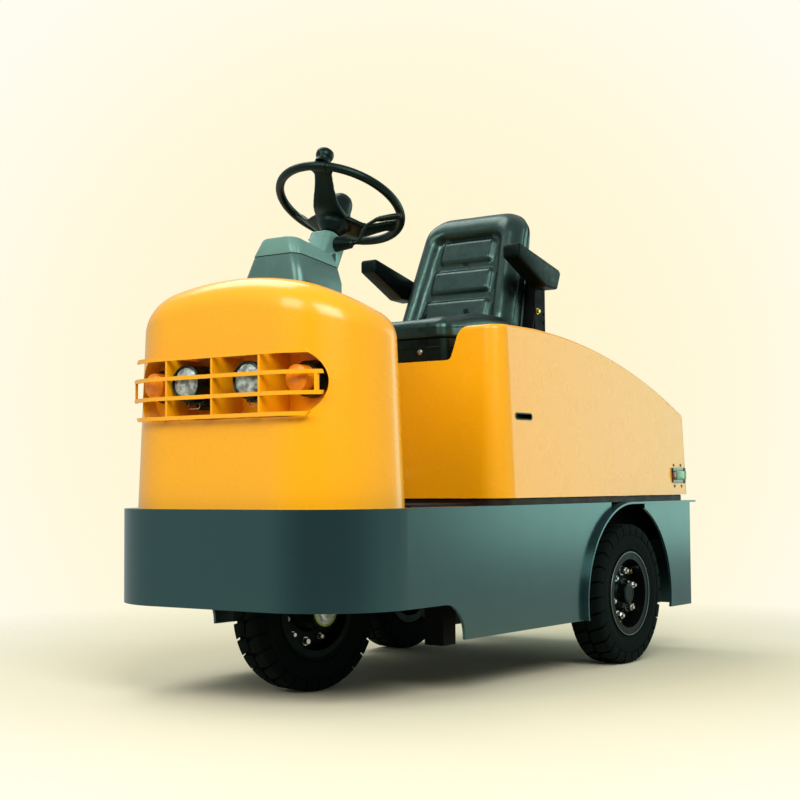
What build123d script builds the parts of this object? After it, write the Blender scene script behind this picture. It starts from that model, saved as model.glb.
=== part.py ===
from build123d import *
import math
import os

os.makedirs("parts", exist_ok=True)

# Frame: +X the tractor's left, -Y its front, +Z up, ground at Z 0, sizes in mm

# Fits and cutting margin
FIT = 0.4
RUN = 6.0
SOFT_GAP = 3.0
CUT = 60.0

# Wheels
TYRE_R = 207.5
TYRE_W = 105.0
BEAD_R = 116.0
BEAD_SET_IN = 10.0
SHOULDER_SET_IN = 2.0
LUG_H = 11.0
LUG_COUNT = 28
LUG_GAP = 7.0
LUG_REACH = 34.0
LUG_TAPER = 6.0
LUG_ROOT = 5.0
LUG_DROP = 22.0
FLANGE_H = 8.0
FLANGE_T = 5.0
FLANGE_GAP = 1.2
WELL_T = 14.0
DISC_T = 8.0
BOSS_R = 44.0
BOSS_L = 24.0
BOSS_ROOT_R = 56.0
CAP_R = 30.0
CAP_L = 14.0
SPINDLE_R = 22.0
SPINDLE_OUT = 24.0
FRONT_AXLE_Y = -600.0
REAR_AXLE_Y = 380.0
REAR_DISC_X = 4.0

# Front fork, steered a little to the right as it stands
REST_STEER = -10.5
TYRE_TOP_GAP = 23.0
CROWN_T = 14.0
CROWN_R = 105.0
TURN_PLATE_T = 14.0
TURN_PLATE_L = 300.0
KINGPIN_R = 28.0
FORK_LEG_T = 12.0
FORK_LEG_W = 90.0
FORK_SIDE_GAP = 12.0
AXLE_BOLT_R = 16.0
AXLE_BOLT_OUT = 14.0

# Chassis: the deck stands on the stack over the front tyre
FRONT_Y = -980.0
REAR_Y = 867.0
HALF_W = 430.0
DECK_T = 8.0
DECK_Z = 2 * TYRE_R + TYRE_TOP_GAP + CROWN_T + RUN + TURN_PLATE_T + DECK_T
SKIRT_T = 8.0
SKIRT_CORNER_R = 240.0
REAR_CORNER_R = 14.0
BUMPER_BOTTOM_Z = 237.0
SIDE_BOTTOM_Z = 144.0
STEP_Y = -490.0
STEP_R = 86.0
TRACK_SET_IN = 27.5
REAR_TRACK_X = HALF_W - TRACK_SET_IN

# Rear arch and its bent strip
ARCH_GAP = 82.5
ARCH_SHIFT = 40.0
ARCH_R = TYRE_R + ARCH_GAP
ARCH_Y = REAR_AXLE_Y + ARCH_SHIFT
ARCH_Z = DECK_Z - ARCH_R
PLATE_LAP = 110.0
STRIP_T = 6.0
STRIP_PROUD = 16.0
STRIP_OUT_X = HALF_W + STRIP_PROUD
STRIP_LAP = 30.0
STRIP_IN_X = HALF_W - STRIP_LAP

# Frame rails
RAIL_SET_IN = 130.0
RAIL_X = HALF_W - RAIL_SET_IN
RAIL_W = 60.0
RAIL_H = 120.0
CROSS_H = 70.0
CROSS_W = 80.0
NOSE_SET_BACK = 101.0
HANGER_Y = -440.0
HANGER_L = 56.0
HANGER_BOTTOM_Z = 118.0

# Cowl
COWL_SET_IN = 40.0
COWL_HALF_W = HALF_W - COWL_SET_IN
COWL_SET_BACK = 25.0
COWL_FRONT_Y = FRONT_Y + COWL_SET_BACK
COWL_L = 333.0
COWL_REAR_Y = COWL_FRONT_Y + COWL_L
COWL_FRONT_R = 216.0
COWL_REAR_R = 105.0
COWL_H = 586.0
COWL_PEAK_Z = DECK_Z + COWL_H
COWL_PEAK_BACK = 85.0
COWL_PEAK_Y = COWL_FRONT_Y + COWL_PEAK_BACK
COWL_SLOPE = 15.0
COWL_CROWN_R = 1000.0
COWL_EDGE_R = 78.0
COWL_DRAFT = 2.3
SHELL_T = 5.0
LIP = 1.0

# Lamp opening, lamps and grille
LAMP_RISE = 303.0
LAMP_Z = DECK_Z + LAMP_RISE
LAMP_OPEN_W = 620.0
LAMP_OPEN_H = 164.0
POCKET_DEPTH = 103.0
POCKET_Y = COWL_FRONT_Y + POCKET_DEPTH
GRILLE_OUT = 24.0
GRILLE_BAR_D = 7.0
GRILLE_BAR_H = 10.0
GRILLE_PITCH = 50.0
GRILLE_BARS = 4
GRILLE_FIN_T = 6.0
GRILLE_FIN_PITCH = 154.0
GRILLE_FINS = 3
GRILLE_END_LAP = 4.0
GRILLE_END_RISE = 30.0
GRILLE_TIE_X = 300.0
LAMP_LIFT = 12.0
LAMP_CENTRE_Z = LAMP_Z + LAMP_LIFT
LAMP_BAR_H = 26.0
LAMP_BAR_T = 6.0
HEADLAMP_X = 102.0
HEADLAMP_R = 45.5
HEADLAMP_DEPTH = 88.0
LENS_R = 40.0
LENS_T = 20.0
LENS_RISE = 9.0
TURN_LAMP_SET_IN = 73.0
TURN_LAMP_X = LAMP_OPEN_W / 2 - TURN_LAMP_SET_IN
TURN_LAMP_R = 33.0
TURN_LAMP_DEPTH = 66.0

# Steering wheel
WHEEL_BACK = 178.0
WHEEL_Y = COWL_REAR_Y + WHEEL_BACK
WHEEL_RISE = 832.0
WHEEL_Z = DECK_Z + WHEEL_RISE
WHEEL_TILT = 27.3
WHEEL_R = 174.0
RIM_TUBE_R = 13.5
HUB_DROP = 58.0
HUB_R = 42.0
HUB_H = 34.0
STEM_R = 16.0
SPOKE_ROOT_W = 72.0
SPOKE_ROOT_T = 18.0
SPOKE_END_W = 48.0
SPOKE_END_T = 12.0
SPOKE_SET_IN = 10.0
SPOKES = 3
SPOKE_ANGLE = -73.0
BUTTON_R = 33.0
BUTTON_RISE = 9.0
KNOB_R = 21.0
KNOB_H = 34.0
KNOB_CHAMFER = 7.0
KNOB_POST_R = 7.0
KNOB_POST_H = 10.0
CLIP_L = 30.0
CLIP_T = 5.0

# Column and dash
COLUMN_W = 80.0
COLUMN_D = 92.0
COLUMN_DROP = 98.0
COLUMN_LEN = 420.0
COLUMN_CHAMFER = 12.0
DASH_BASE_W = 204.0
DASH_TOP_W = 160.0
DASH_BACK = 213.0
DASH_FRONT_Y = COWL_FRONT_Y + DASH_BACK
DASH_LEN = 175.0
DASH_SINK = 126.0
DASH_BASE_Z = COWL_PEAK_Z - DASH_SINK
DASH_KNEE_RISE = 4.0
DASH_KNEE_Z = COWL_PEAK_Z + DASH_KNEE_RISE
DASH_SEAM_RISE = 74.0
DASH_SEAM_Z = COWL_PEAK_Z + DASH_SEAM_RISE
DASH_CHAMFER = 18.0
DASH_FRONT_LEAN = 14.0
DASH_LID_W = 150.0
DASH_LID_FRONT_H = 48.0
DASH_LID_REAR_H = 33.0
DASH_LID_LEAN = 26.0
DASH_PLATE_T = 5.0
DASH_PLATE_LAP = 9.0
LEVER_R = 5.0
LEVER_DROP = 40.0
LEVER_BOOT_R = 15.0
LEVER_BOOT_L = 36.0
LEVER_L = 118.0
LEVER_RISE = 52.0
LEVER_SWEEP = 9.0
LEVER_GRIP_R = 9.0
LEVER_GRIP_L = 40.0

# Hood
HOOD_SET_IN = 6.0
HOOD_HALF_W = HALF_W - HOOD_SET_IN
HOOD_FRONT_Y = -294.0
HOOD_REAR_GAP = 1.0
HOOD_REAR_Y = REAR_Y - HOOD_REAR_GAP
HOOD_FRONT_R = 66.0
HOOD_REAR_R = 26.0
HOOD_GAP = 19.0
HOOD_BOTTOM_Z = DECK_Z + HOOD_GAP
HOOD_DRAFT = 2.4
HOOD_PEAK_BACK = 124.0
HOOD_PEAK_Y = HOOD_FRONT_Y + HOOD_PEAK_BACK
HOOD_H = 492.0
HOOD_PEAK_Z = DECK_Z + HOOD_H
HOOD_TOP_R = 2540.0
HOOD_EDGE_R = 12.0
SLOT_BACK = 129.0
SLOT_Y = HOOD_FRONT_Y + SLOT_BACK
SLOT_RISE = 241.0
SLOT_Z = DECK_Z + SLOT_RISE
SLOT_L = 90.0
SLOT_H = 20.0
HINGE_SET_IN = 8.0
HINGE_Y = REAR_Y - HINGE_SET_IN
HINGE_RISE = 15.0
HINGE_Z = DECK_Z + HINGE_RISE
HINGE_X = 260.0
HINGE_L = 60.0
HINGE_R = 9.0
HINGE_PIN_R = 5.0
HINGE_EAR_T = 14.0
HINGE_TAB_H = 30.0

# Footwell
MAT_T = 4.0
MAT_SET_IN = 12.0
MAT_SIDE_GAP = 40.0
MAT_HALF_W = COWL_HALF_W - MAT_SIDE_GAP
PEDAL_PAD_L = 110.0
PEDAL_T = 8.0
PEDAL_SLOPE = 38.0
PEDAL_H = 62.0
PEDAL_FOOT_W = 32.0
PEDAL_FOOT_L = 40.0
PEDAL_SET_BACK = 84.0
BRAKE_X = -70.0
BRAKE_W = 109.0
ACCELERATOR_X = -230.0
ACCELERATOR_W = 84.0

# Battery
BATTERY_LAP = 20.0
BATTERY_HALF_W = RAIL_X + BATTERY_LAP
BATTERY_BACK = 174.0
BATTERY_FRONT_Y = HOOD_FRONT_Y + BATTERY_BACK
BATTERY_L = 680.0
BATTERY_H = 300.0

# Tail lamps
TAIL_SET_IN = 76.0
TAIL_RISE = 92.0
TAIL_Z = DECK_Z + TAIL_RISE
TAIL_L = 46.0
TAIL_H = 62.0
TAIL_OUT = 4.0
TAIL_R = 6.0

# Seat and its well in the hood
SEAT_HALF_W = 236.0
SEAT_SET_BACK = 16.0
SEAT_FRONT_Y = HOOD_FRONT_Y + SEAT_SET_BACK
SEAT_BASE_L = 448.0
SEAT_BASE_H = 62.0
SEAT_BASE_R = 20.0
RECESS_DEPTH = 94.0
RECESS_FLOOR_Z = HOOD_PEAK_Z - RECESS_DEPTH
RECESS_SIDE_GAP = 14.0
RECESS_HALF_W = SEAT_HALF_W + RECESS_SIDE_GAP
RECESS_FLARE = 30.0
RECESS_FLOOR_R = 18.0
RECESS_RIM_DROP = 2.5
RECESS_SHOULDER_R = 42.0
CUSHION_H = 82.0
CUSHION_R = 34.0
CUSHION_EDGE_R = 27.0
CUSHION_BOLSTER_W = 86.0
CUSHION_DISH_W = 2 * (SEAT_HALF_W - CUSHION_BOLSTER_W)
CUSHION_DISH_R = 1400.0
CUSHION_DISH = 12.0
SEAT_BASE_Z = RECESS_FLOOR_Z + SEAT_BASE_H
BACK_LAP = 33.0
BACK_FOOT_Y = SEAT_FRONT_Y + SEAT_BASE_L - BACK_LAP
BACK_RISE = 35.0
BACK_BOTTOM_Z = SEAT_BASE_Z + BACK_RISE
BACK_TILT = 18.5
BACK_HEIGHT = 424.0
BACK_SET_IN = 34.0
BACK_HALF_W = SEAT_HALF_W - BACK_SET_IN
BACK_TOP_SET_IN = 66.0
BACK_TOP_HALF_W = SEAT_HALF_W - BACK_TOP_SET_IN
BACK_T = 118.0
BACK_TOP_T = 80.0
BACK_FRONT_R = 28.0
BACK_REAR_R = 12.0
BACK_TOP_R = 70.0
BACK_BORDER = 38.0
BACK_POCKET_W = 2 * (BACK_TOP_HALF_W - BACK_BORDER)
BACK_POCKET_LOW = 18.0
BACK_POCKET_H = 336.0
BACK_POCKET_DEPTH = 16.0
BACK_POCKET_R = 30.0
BACK_PANELS = 3
BACK_PANEL_GAP = 24.0
BACK_PANEL_RISE = 9.0
RECESS_BACK = 153.0
RECESS_REAR_Y = BACK_FOOT_Y + RECESS_BACK

# Seat bracket and armrests
BRACKET_T = 6.0
BRACKET_L = 60.0
BRACKET_SET_IN = 16.0
BRACKET_X = SEAT_HALF_W - BRACKET_SET_IN
BRACKET_H = 260.0
BRACKET_HOLES = 3
BRACKET_HOLE_R = 5.0
BRACKET_HOLE_PITCH = 26.0
ARM_BACK = 106.0
ARM_PIVOT_Y = BACK_FOOT_Y + ARM_BACK
ARM_RISE = 177.0
ARM_PIVOT_Z = BACK_BOTTOM_Z + ARM_RISE
ARM_PIN_R = 10.0
ARM_PIN_END = 8.0
ARM_W = 57.0
ARM_REACH = 214.0
ARM_TAIL = 22.0
ARM_TAIL_CHAMFER = 11.0
ARM_FRONT_RISE = 47.0
ARM_FRONT_H = 41.0
ARM_REAR_DROP = 30.0
ARM_REAR_H = 62.0
ARM_NOSE = 8.0
ARM_EDGE = 7.0

# Rear axle and tow coupler
AXLE_TUBE_R = 42.0
AXLE_OUT = 38.0
AXLE_HALF_L = RAIL_X + AXLE_OUT
AXLE_SEAT_L = 100.0
GEARBOX_R = 98.0
GEARBOX_W = 150.0
MOTOR_R = 92.0
MOTOR_L = 250.0
JAW_W = 120.0
JAW_LEN = 113.0
JAW_T = 16.0
JAW_LOW_Z = 205.0
JAW_GAP = 64.0
JAW_BASE_T = 14.0
JAW_BASE_LAP = 20.0
JAW_BASE_RISE = 30.0
TOW_PIN_R = 13.0
TOW_BORE_R = 15.0
TOW_PIN_BACK = 59.0
TOW_PIN_Y = REAR_Y + TOW_PIN_BACK
TOW_PIN_BELOW = 8.0
TOW_PIN_TOP = 40.0
TOW_COLLAR_R = 23.0
TOW_COLLAR_T = 8.0
TOW_HANDLE_L = 104.0
TOW_HANDLE_R = 8.0


def block(x, y, z):
    """Box from three (low, high) pairs."""
    size = [hi - lo for lo, hi in (x, y, z)]
    mid = [(hi + lo) / 2 for lo, hi in (x, y, z)]
    return Pos(*mid) * Box(*size)


def rod(start, end, radius):
    """Round bar between two points."""
    a, b = Vector(*start), Vector(*end)
    return Solid.make_cylinder(radius, (b - a).length, Plane(origin=a, z_dir=b - a))


def turned(*outline):
    """Solid of revolution round X from (x, radius) points."""
    return revolve(Polygon(*outline, align=None), Axis.X)


def save(part, name):
    export_step(part, f"parts/{name}.step")


def save_pair(left, name):
    save(left, f"{name}_left")
    save(mirror(left, about=Plane.YZ), f"{name}_right")


def plan(half_w, front_y, rear_y, front_r, rear_r):
    """Rounded plan outline, with its own radius at the front and rear corners."""
    outline = Pos(0, (front_y + rear_y) / 2) * Rectangle(2 * half_w, rear_y - front_y)
    outline = fillet(outline.vertices().sort_by(Axis.Y)[:2], front_r)
    return fillet(outline.vertices().sort_by(Axis.Y)[-2:], rear_r)


def skirt_wall(set_in):
    corner = max(REAR_CORNER_R - set_in, LIP)
    return plan(HALF_W - set_in, FRONT_Y + set_in, REAR_Y - set_in, SKIRT_CORNER_R - set_in, corner)


def arch_tool():
    return Pos(0, ARCH_Y, ARCH_Z) * Rot(0, 90, 0) * Cylinder(ARCH_R + FIT, 4 * HALF_W)


def skirt_shell():
    wall = skirt_wall(0) - skirt_wall(SKIRT_T)
    return extrude(Pos(0, 0, SIDE_BOTTOM_Z) * wall, DECK_Z - SIDE_BOTTOM_Z)


def bumper_skirt():
    """Front bumper with the two side plates, stepped down behind the front wheel."""
    front = FRONT_Y - CUT
    under = Polygon((front, BUMPER_BOTTOM_Z), (STEP_Y, BUMPER_BOTTOM_Z), (STEP_Y, SIDE_BOTTOM_Z - CUT),
                    (front, SIDE_BOTTOM_Z - CUT), align=None)
    corner = under.vertices().sort_by_distance((STEP_Y, BUMPER_BOTTOM_Z))[0]
    cut = extrude(Plane.YZ * fillet(corner, STEP_R), 2 * HALF_W, both=True)
    ahead = block((-2 * HALF_W, 2 * HALF_W), (front, ARCH_Y - PLATE_LAP), (0, 2 * DECK_Z))
    return (skirt_shell() & ahead) - cut - arch_tool()


def rear_skirt():
    """Rear plate with the panels behind the rear wheels, under the fender strips."""
    rear = block((-2 * HALF_W, 2 * HALF_W), (ARCH_Y + PLATE_LAP, REAR_Y + CUT), (0, 2 * DECK_Z))
    wall = (skirt_shell() & rear) - arch_tool()
    for side in (-1, 1):
        x = sorted((side * STRIP_IN_X, side * 2 * HALF_W))
        wall -= block(x, (FRONT_Y, REAR_Y + CUT), (DECK_Z - STRIP_T - FIT, DECK_Z + CUT))
    return wall


def fender_strip():
    """Bent flat bar: up the front of the arch, then level along the deck to the rear."""
    ring = Circle(ARCH_R) - Circle(ARCH_R - STRIP_T)
    low = ARCH_Z - SIDE_BOTTOM_Z
    keep = Pos(-ARCH_R, (ARCH_R - low) / 2) * Rectangle(2 * ARCH_R, ARCH_R + low)
    run = REAR_Y - ARCH_Y
    level = Pos(run / 2, ARCH_R - STRIP_T / 2) * Rectangle(run, STRIP_T)
    profile = Pos(ARCH_Y, ARCH_Z) * ((ring & keep) + level)
    return extrude(Plane.YZ.offset(STRIP_IN_X) * profile, STRIP_OUT_X - STRIP_IN_X)


def chassis_frame():
    """Two rails under the deck, cross members, hangers and the front turntable plate."""
    top = DECK_Z - DECK_T
    rail_end = REAR_Y - SKIRT_T
    nose_y = FRONT_Y + NOSE_SET_BACK
    half = TURN_PLATE_L / 2
    frame = block((-RAIL_X, RAIL_X), (FRONT_AXLE_Y - half, FRONT_AXLE_Y + half), (top - TURN_PLATE_T, top))
    for side in (-1, 1):
        x = (side * RAIL_X - RAIL_W / 2, side * RAIL_X + RAIL_W / 2)
        frame += block(x, (nose_y, rail_end), (top - RAIL_H, top))
        frame += block(x, (HANGER_Y, HANGER_Y + HANGER_L), (HANGER_BOTTOM_Z, top))
    for y in (nose_y, FRONT_AXLE_Y + TYRE_R + CROSS_W, ARCH_Y - ARCH_R, rail_end - CROSS_W):
        frame += block((-RAIL_X, RAIL_X), (y, y + CROSS_W), (top - CROSS_H, top))
    return frame - Pos(0, FRONT_AXLE_Y, top) * Cylinder(KINGPIN_R + FIT, 8 * TURN_PLATE_T)


def floor_deck():
    """Deck plate inside the skirt, notched for the fender strips, with the hood's hinge pins."""
    deck = extrude(Pos(0, 0, DECK_Z - DECK_T) * skirt_wall(SKIRT_T), DECK_T)
    ear_y = (HINGE_Y - 2 * HINGE_R, REAR_Y - SKIRT_T)
    for side in (-1, 1):
        x = sorted((side * (STRIP_IN_X - FIT), side * HALF_W))
        deck -= block(x, (ARCH_Y - ARCH_R, REAR_Y), (0, 2 * DECK_Z))
        for end in (-1, 1):
            mid = side * HINGE_X + end * (HINGE_L / 2 + HINGE_EAR_T / 2 + FIT)
            ear = (mid - HINGE_EAR_T / 2, mid + HINGE_EAR_T / 2)
            deck += block(ear, ear_y, (DECK_Z - DECK_T, HINGE_Z))
            deck += rod((ear[0], HINGE_Y, HINGE_Z), (ear[1], HINGE_Y, HINGE_Z), HINGE_R - LIP)
        reach = HINGE_L / 2 + HINGE_EAR_T
        ends = [(side * HINGE_X + end * reach, HINGE_Y, HINGE_Z) for end in (-1, 1)]
        deck += rod(*ends, HINGE_PIN_R)
    return deck


def floor_mat():
    y = (COWL_REAR_Y + MAT_SET_IN, HOOD_FRONT_Y - MAT_SET_IN)
    return block((-MAT_HALF_W, MAT_HALF_W), y, (DECK_Z, DECK_Z + MAT_T))


def battery_block():
    y = (BATTERY_FRONT_Y, BATTERY_FRONT_Y + BATTERY_L)
    return block((-BATTERY_HALF_W, BATTERY_HALF_W), y, (DECK_Z, DECK_Z + BATTERY_H))


def cowl_plan(set_in):
    return plan(COWL_HALF_W - set_in, COWL_FRONT_Y + set_in, COWL_REAR_Y - set_in,
                COWL_FRONT_R - set_in, COWL_REAR_R - set_in)


def cowl_body(set_in):
    """Drafted cowl form under a crowned top that slopes down to the driver."""
    body = extrude(Pos(0, 0, DECK_Z) * cowl_plan(set_in), COWL_PEAK_Z - DECK_Z + CUT, taper=COWL_DRAFT)
    axis_z = COWL_PEAK_Z - COWL_CROWN_R / math.cos(math.radians(COWL_SLOPE))
    crown = Pos(0, COWL_PEAK_Y, axis_z) * Rot(90 - COWL_SLOPE, 0, 0)
    body = body & crown * Cylinder(COWL_CROWN_R - set_in, 4 * COWL_HALF_W)
    top = body.faces().sort_by(Axis.Z)[-1]
    return fillet(top.edges(), COWL_EDGE_R - set_in)


def lamp_slot(grow, back_y):
    """Obround prism through the cowl's front, from back_y forward."""
    slot = SlotOverall(LAMP_OPEN_W + 2 * grow, LAMP_OPEN_H + 2 * grow)
    return extrude(Plane.XZ.offset(-back_y) * Pos(0, LAMP_Z) * slot, back_y - FRONT_Y + CUT)


def front_cowl():
    """Moulded shell, open below, with the lamp pocket sunk into its front."""
    void = cowl_body(SHELL_T) - lamp_slot(SHELL_T, POCKET_Y + SHELL_T)
    void += extrude(Pos(0, 0, DECK_Z) * cowl_plan(SHELL_T), LIP)
    return cowl_body(0) - void - lamp_slot(0, POCKET_Y)


def grille_plan(grow):
    """Cowl outline at lamp height, pushed out by grow."""
    lean = (LAMP_Z - DECK_Z) * math.tan(math.radians(COWL_DRAFT))
    push = grow - lean
    return plan(COWL_HALF_W + push, COWL_FRONT_Y - push, COWL_REAR_Y, COWL_FRONT_R + push, COWL_REAR_R)


def upright(x):
    """Thin upright sheet across the cowl's front."""
    return block((x - GRILLE_FIN_T / 2, x + GRILLE_FIN_T / 2), (FRONT_Y - CUT, POCKET_Y), (0, 2 * LAMP_Z))


def lamp_grille():
    """Level guard bars that follow the cowl's corners, tied by end ties and upright fins."""
    hoop = grille_plan(GRILLE_OUT) - grille_plan(GRILLE_OUT - GRILLE_BAR_D)
    rise = (GRILLE_BARS - 1) * GRILLE_PITCH
    low = LAMP_Z - rise / 2
    ends = SlotOverall(LAMP_OPEN_W + 2 * GRILLE_END_LAP, rise + 2 * GRILLE_END_RISE)
    window = extrude(Plane.XZ.offset(-POCKET_Y) * Pos(0, LAMP_Z) * ends, POCKET_Y - FRONT_Y + CUT)
    grille = Part()
    for row in range(GRILLE_BARS):
        z = low + row * GRILLE_PITCH - GRILLE_BAR_H / 2
        grille += extrude(Pos(0, 0, z) * hoop, GRILLE_BAR_H) & window
    inside = extrude(Pos(0, 0, low) * grille_plan(GRILLE_OUT - LIP), rise)
    span = (GRILLE_FINS - 1) * GRILLE_FIN_PITCH
    for i in range(GRILLE_FINS):
        grille += upright(i * GRILLE_FIN_PITCH - span / 2) & inside
    tie = extrude(Pos(0, 0, LAMP_Z - GRILLE_PITCH / 2) * hoop, GRILLE_PITCH)
    for side in (-1, 1):
        grille += upright(side * GRILLE_TIE_X) & tie
    return grille - lamp_bracket()


def lamp_bracket():
    """Flat bar on the pocket's back wall, behind the lamps."""
    half = TURN_LAMP_X + TURN_LAMP_R
    z = (LAMP_CENTRE_Z - LAMP_BAR_H / 2, LAMP_CENTRE_Z + LAMP_BAR_H / 2)
    return block((-half, half), (POCKET_Y - LAMP_BAR_T, POCKET_Y), z)


def headlamp():
    """Round bucket, open in front for its lens."""
    back_y = POCKET_Y - LAMP_BAR_T
    front_y = back_y - HEADLAMP_DEPTH
    body = rod((HEADLAMP_X, back_y, LAMP_CENTRE_Z), (HEADLAMP_X, front_y, LAMP_CENTRE_Z), HEADLAMP_R)
    seat = rod((HEADLAMP_X, front_y, LAMP_CENTRE_Z), (HEADLAMP_X, front_y + LENS_T, LAMP_CENTRE_Z), LENS_R)
    return body - seat


def domed_lens(x, base_y, radius, depth):
    """Turned lens with a domed face, its flat back at base_y."""
    ball_r = (radius ** 2 + LENS_RISE ** 2) / (2 * LENS_RISE)
    front_y = base_y - depth - LENS_RISE
    disc = rod((x, base_y, LAMP_CENTRE_Z), (x, front_y, LAMP_CENTRE_Z), radius)
    return disc & Pos(x, front_y + ball_r, LAMP_CENTRE_Z) * Sphere(ball_r)


def headlamp_lens():
    base_y = POCKET_Y - LAMP_BAR_T - HEADLAMP_DEPTH + LENS_T
    return domed_lens(HEADLAMP_X, base_y, LENS_R - FIT, LENS_T)


def turn_lamp():
    return domed_lens(TURN_LAMP_X, POCKET_Y - LAMP_BAR_T, TURN_LAMP_R, TURN_LAMP_DEPTH)


def column_frame():
    """Plane at the steering wheel's centre, its Z along the column."""
    tilt = math.radians(WHEEL_TILT)
    return Plane(origin=(0, WHEEL_Y, WHEEL_Z), x_dir=(1, 0, 0), z_dir=(0, math.sin(tilt), math.cos(tilt)))


def column_block(grow):
    body = Pos(0, 0, -COLUMN_DROP - COLUMN_LEN / 2) * Box(COLUMN_W + grow, COLUMN_D + grow, COLUMN_LEN)
    return column_frame() * chamfer(body.edges().filter_by(Axis.Z), COLUMN_CHAMFER)


def column_housing():
    return column_block(0) - cowl_body(0)


def dash_plan(width, front_y):
    """Console outline with cut corners, from front_y back to the column."""
    rear_y = DASH_FRONT_Y + DASH_LEN
    outline = Pos(0, (front_y + rear_y) / 2) * Rectangle(width, rear_y - front_y)
    return chamfer(outline.vertices(), DASH_CHAMFER)


def seam_front_y():
    return DASH_FRONT_Y + DASH_FRONT_LEAN


def dash_console():
    """Tapered console on the cowl, with a thin foot plate round its base."""
    low = dash_plan(DASH_BASE_W, DASH_FRONT_Y)
    high = Pos(0, 0, DASH_SEAM_Z) * dash_plan(DASH_TOP_W, seam_front_y())
    body = loft([Pos(0, 0, DASH_KNEE_Z) * low, high], ruled=True)
    body += extrude(Pos(0, 0, DASH_BASE_Z) * low, DASH_KNEE_Z - DASH_BASE_Z)
    foot = extrude(Pos(0, 0, DASH_BASE_Z) * dash_plan(DASH_BASE_W + 2 * DASH_PLATE_LAP,
                                                      DASH_FRONT_Y - DASH_PLATE_LAP), 2 * CUT)
    foot = foot & cowl_body(-DASH_PLATE_T)
    return body + foot - cowl_body(0) - column_block(FIT)


def dash_lid():
    """Lid on the console, its front face laid back and its top falling to the driver."""
    rear_y = DASH_FRONT_Y + DASH_LEN
    front_y = seam_front_y()
    side = Polygon((front_y, DASH_SEAM_Z), (front_y + DASH_LID_LEAN, DASH_SEAM_Z + DASH_LID_FRONT_H),
                   (rear_y, DASH_SEAM_Z + DASH_LID_REAR_H), (rear_y, DASH_SEAM_Z), align=None)
    wedge = extrude(Plane.YZ * side, DASH_BASE_W, both=True)
    low = Pos(0, 0, DASH_SEAM_Z) * dash_plan(DASH_TOP_W, front_y)
    high = Pos(0, 0, DASH_SEAM_Z + DASH_LID_FRONT_H) * dash_plan(DASH_LID_W, front_y)
    return (loft([low, high], ruled=True) & wedge) - column_block(FIT)


def control_lever():
    """Direction lever on the column's left side: boot, stalk and grip."""
    root = column_frame().from_local_coords(Vector(COLUMN_W / 2, 0, -COLUMN_DROP - LEVER_DROP))
    aim = Vector(LEVER_L, LEVER_SWEEP, LEVER_RISE).normalized()
    knee = root + aim * LEVER_BOOT_L
    grip = knee + aim * (LEVER_L - LEVER_GRIP_L)
    inside = root - aim * (COLUMN_W / 4)
    boot = rod(inside, knee, LEVER_BOOT_R)
    lever = boot + rod(knee, grip, LEVER_R) + rod(grip, grip + aim * LEVER_GRIP_L, LEVER_GRIP_R)
    return lever - column_block(FIT)


def pedal(x, pad_w):
    """Sloped pad on a floor block."""
    y = COWL_REAR_Y + PEDAL_SET_BACK
    low = DECK_Z + MAT_T
    pad = Pos(x, y, low + PEDAL_H) * Rot(PEDAL_SLOPE, 0, 0) * Box(pad_w, PEDAL_PAD_L, PEDAL_T)
    half_w, half_l = PEDAL_FOOT_W / 2, PEDAL_FOOT_L / 2
    return pad + block((x - half_w, x + half_w), (y - half_l, y + half_l), (low, low + PEDAL_H))


def hood_plan(set_in):
    return plan(HOOD_HALF_W - set_in, HOOD_FRONT_Y + set_in, HOOD_REAR_Y - set_in,
                HOOD_FRONT_R - set_in, HOOD_REAR_R - set_in)


def hood_body(set_in):
    """Drafted hood form under a long arc that falls to the rear."""
    height = HOOD_PEAK_Z - HOOD_BOTTOM_Z + CUT
    body = extrude(Pos(0, 0, HOOD_BOTTOM_Z) * hood_plan(set_in), height, taper=HOOD_DRAFT)
    axis = Pos(0, HOOD_PEAK_Y, HOOD_PEAK_Z - HOOD_TOP_R) * Rot(0, 90, 0)
    body = body & axis * Cylinder(HOOD_TOP_R - set_in, 4 * HOOD_HALF_W)
    top = body.faces().sort_by(Axis.Z)[-1]
    return fillet(top.edges(), HOOD_EDGE_R - set_in)


def seat_recess(grow):
    """Open-fronted well in the hood for the seat, its flared sides rounded over at the top."""
    top = HOOD_PEAK_Z + CUT
    floor = RECESS_FLOOR_Z - grow
    rim = HOOD_PEAK_Z - RECESS_RIM_DROP - grow
    half = RECESS_HALF_W + grow
    wide, far = half + RECESS_FLARE, 2 * HOOD_HALF_W
    well = Polygon((-half, floor), (half, floor), (wide, rim), (far, rim), (far, top), (-far, top),
                   (-far, rim), (-wide, rim), align=None)
    well = fillet(well.vertices().sort_by(Axis.Y)[:2], RECESS_FLOOR_R + grow)
    shoulders = [well.vertices().sort_by_distance((side * wide, rim))[0] for side in (-1, 1)]
    well = fillet(shoulders, RECESS_SHOULDER_R - grow)
    rear = RECESS_REAR_Y + grow
    return extrude(Plane.XZ.offset(-rear) * well, rear - HOOD_FRONT_Y + CUT)


def hood_slots():
    slot = SlotOverall(SLOT_L, SLOT_H)
    return extrude(Plane.YZ * Pos(SLOT_Y, SLOT_Z) * slot, 2 * HOOD_HALF_W, both=True)


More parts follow.
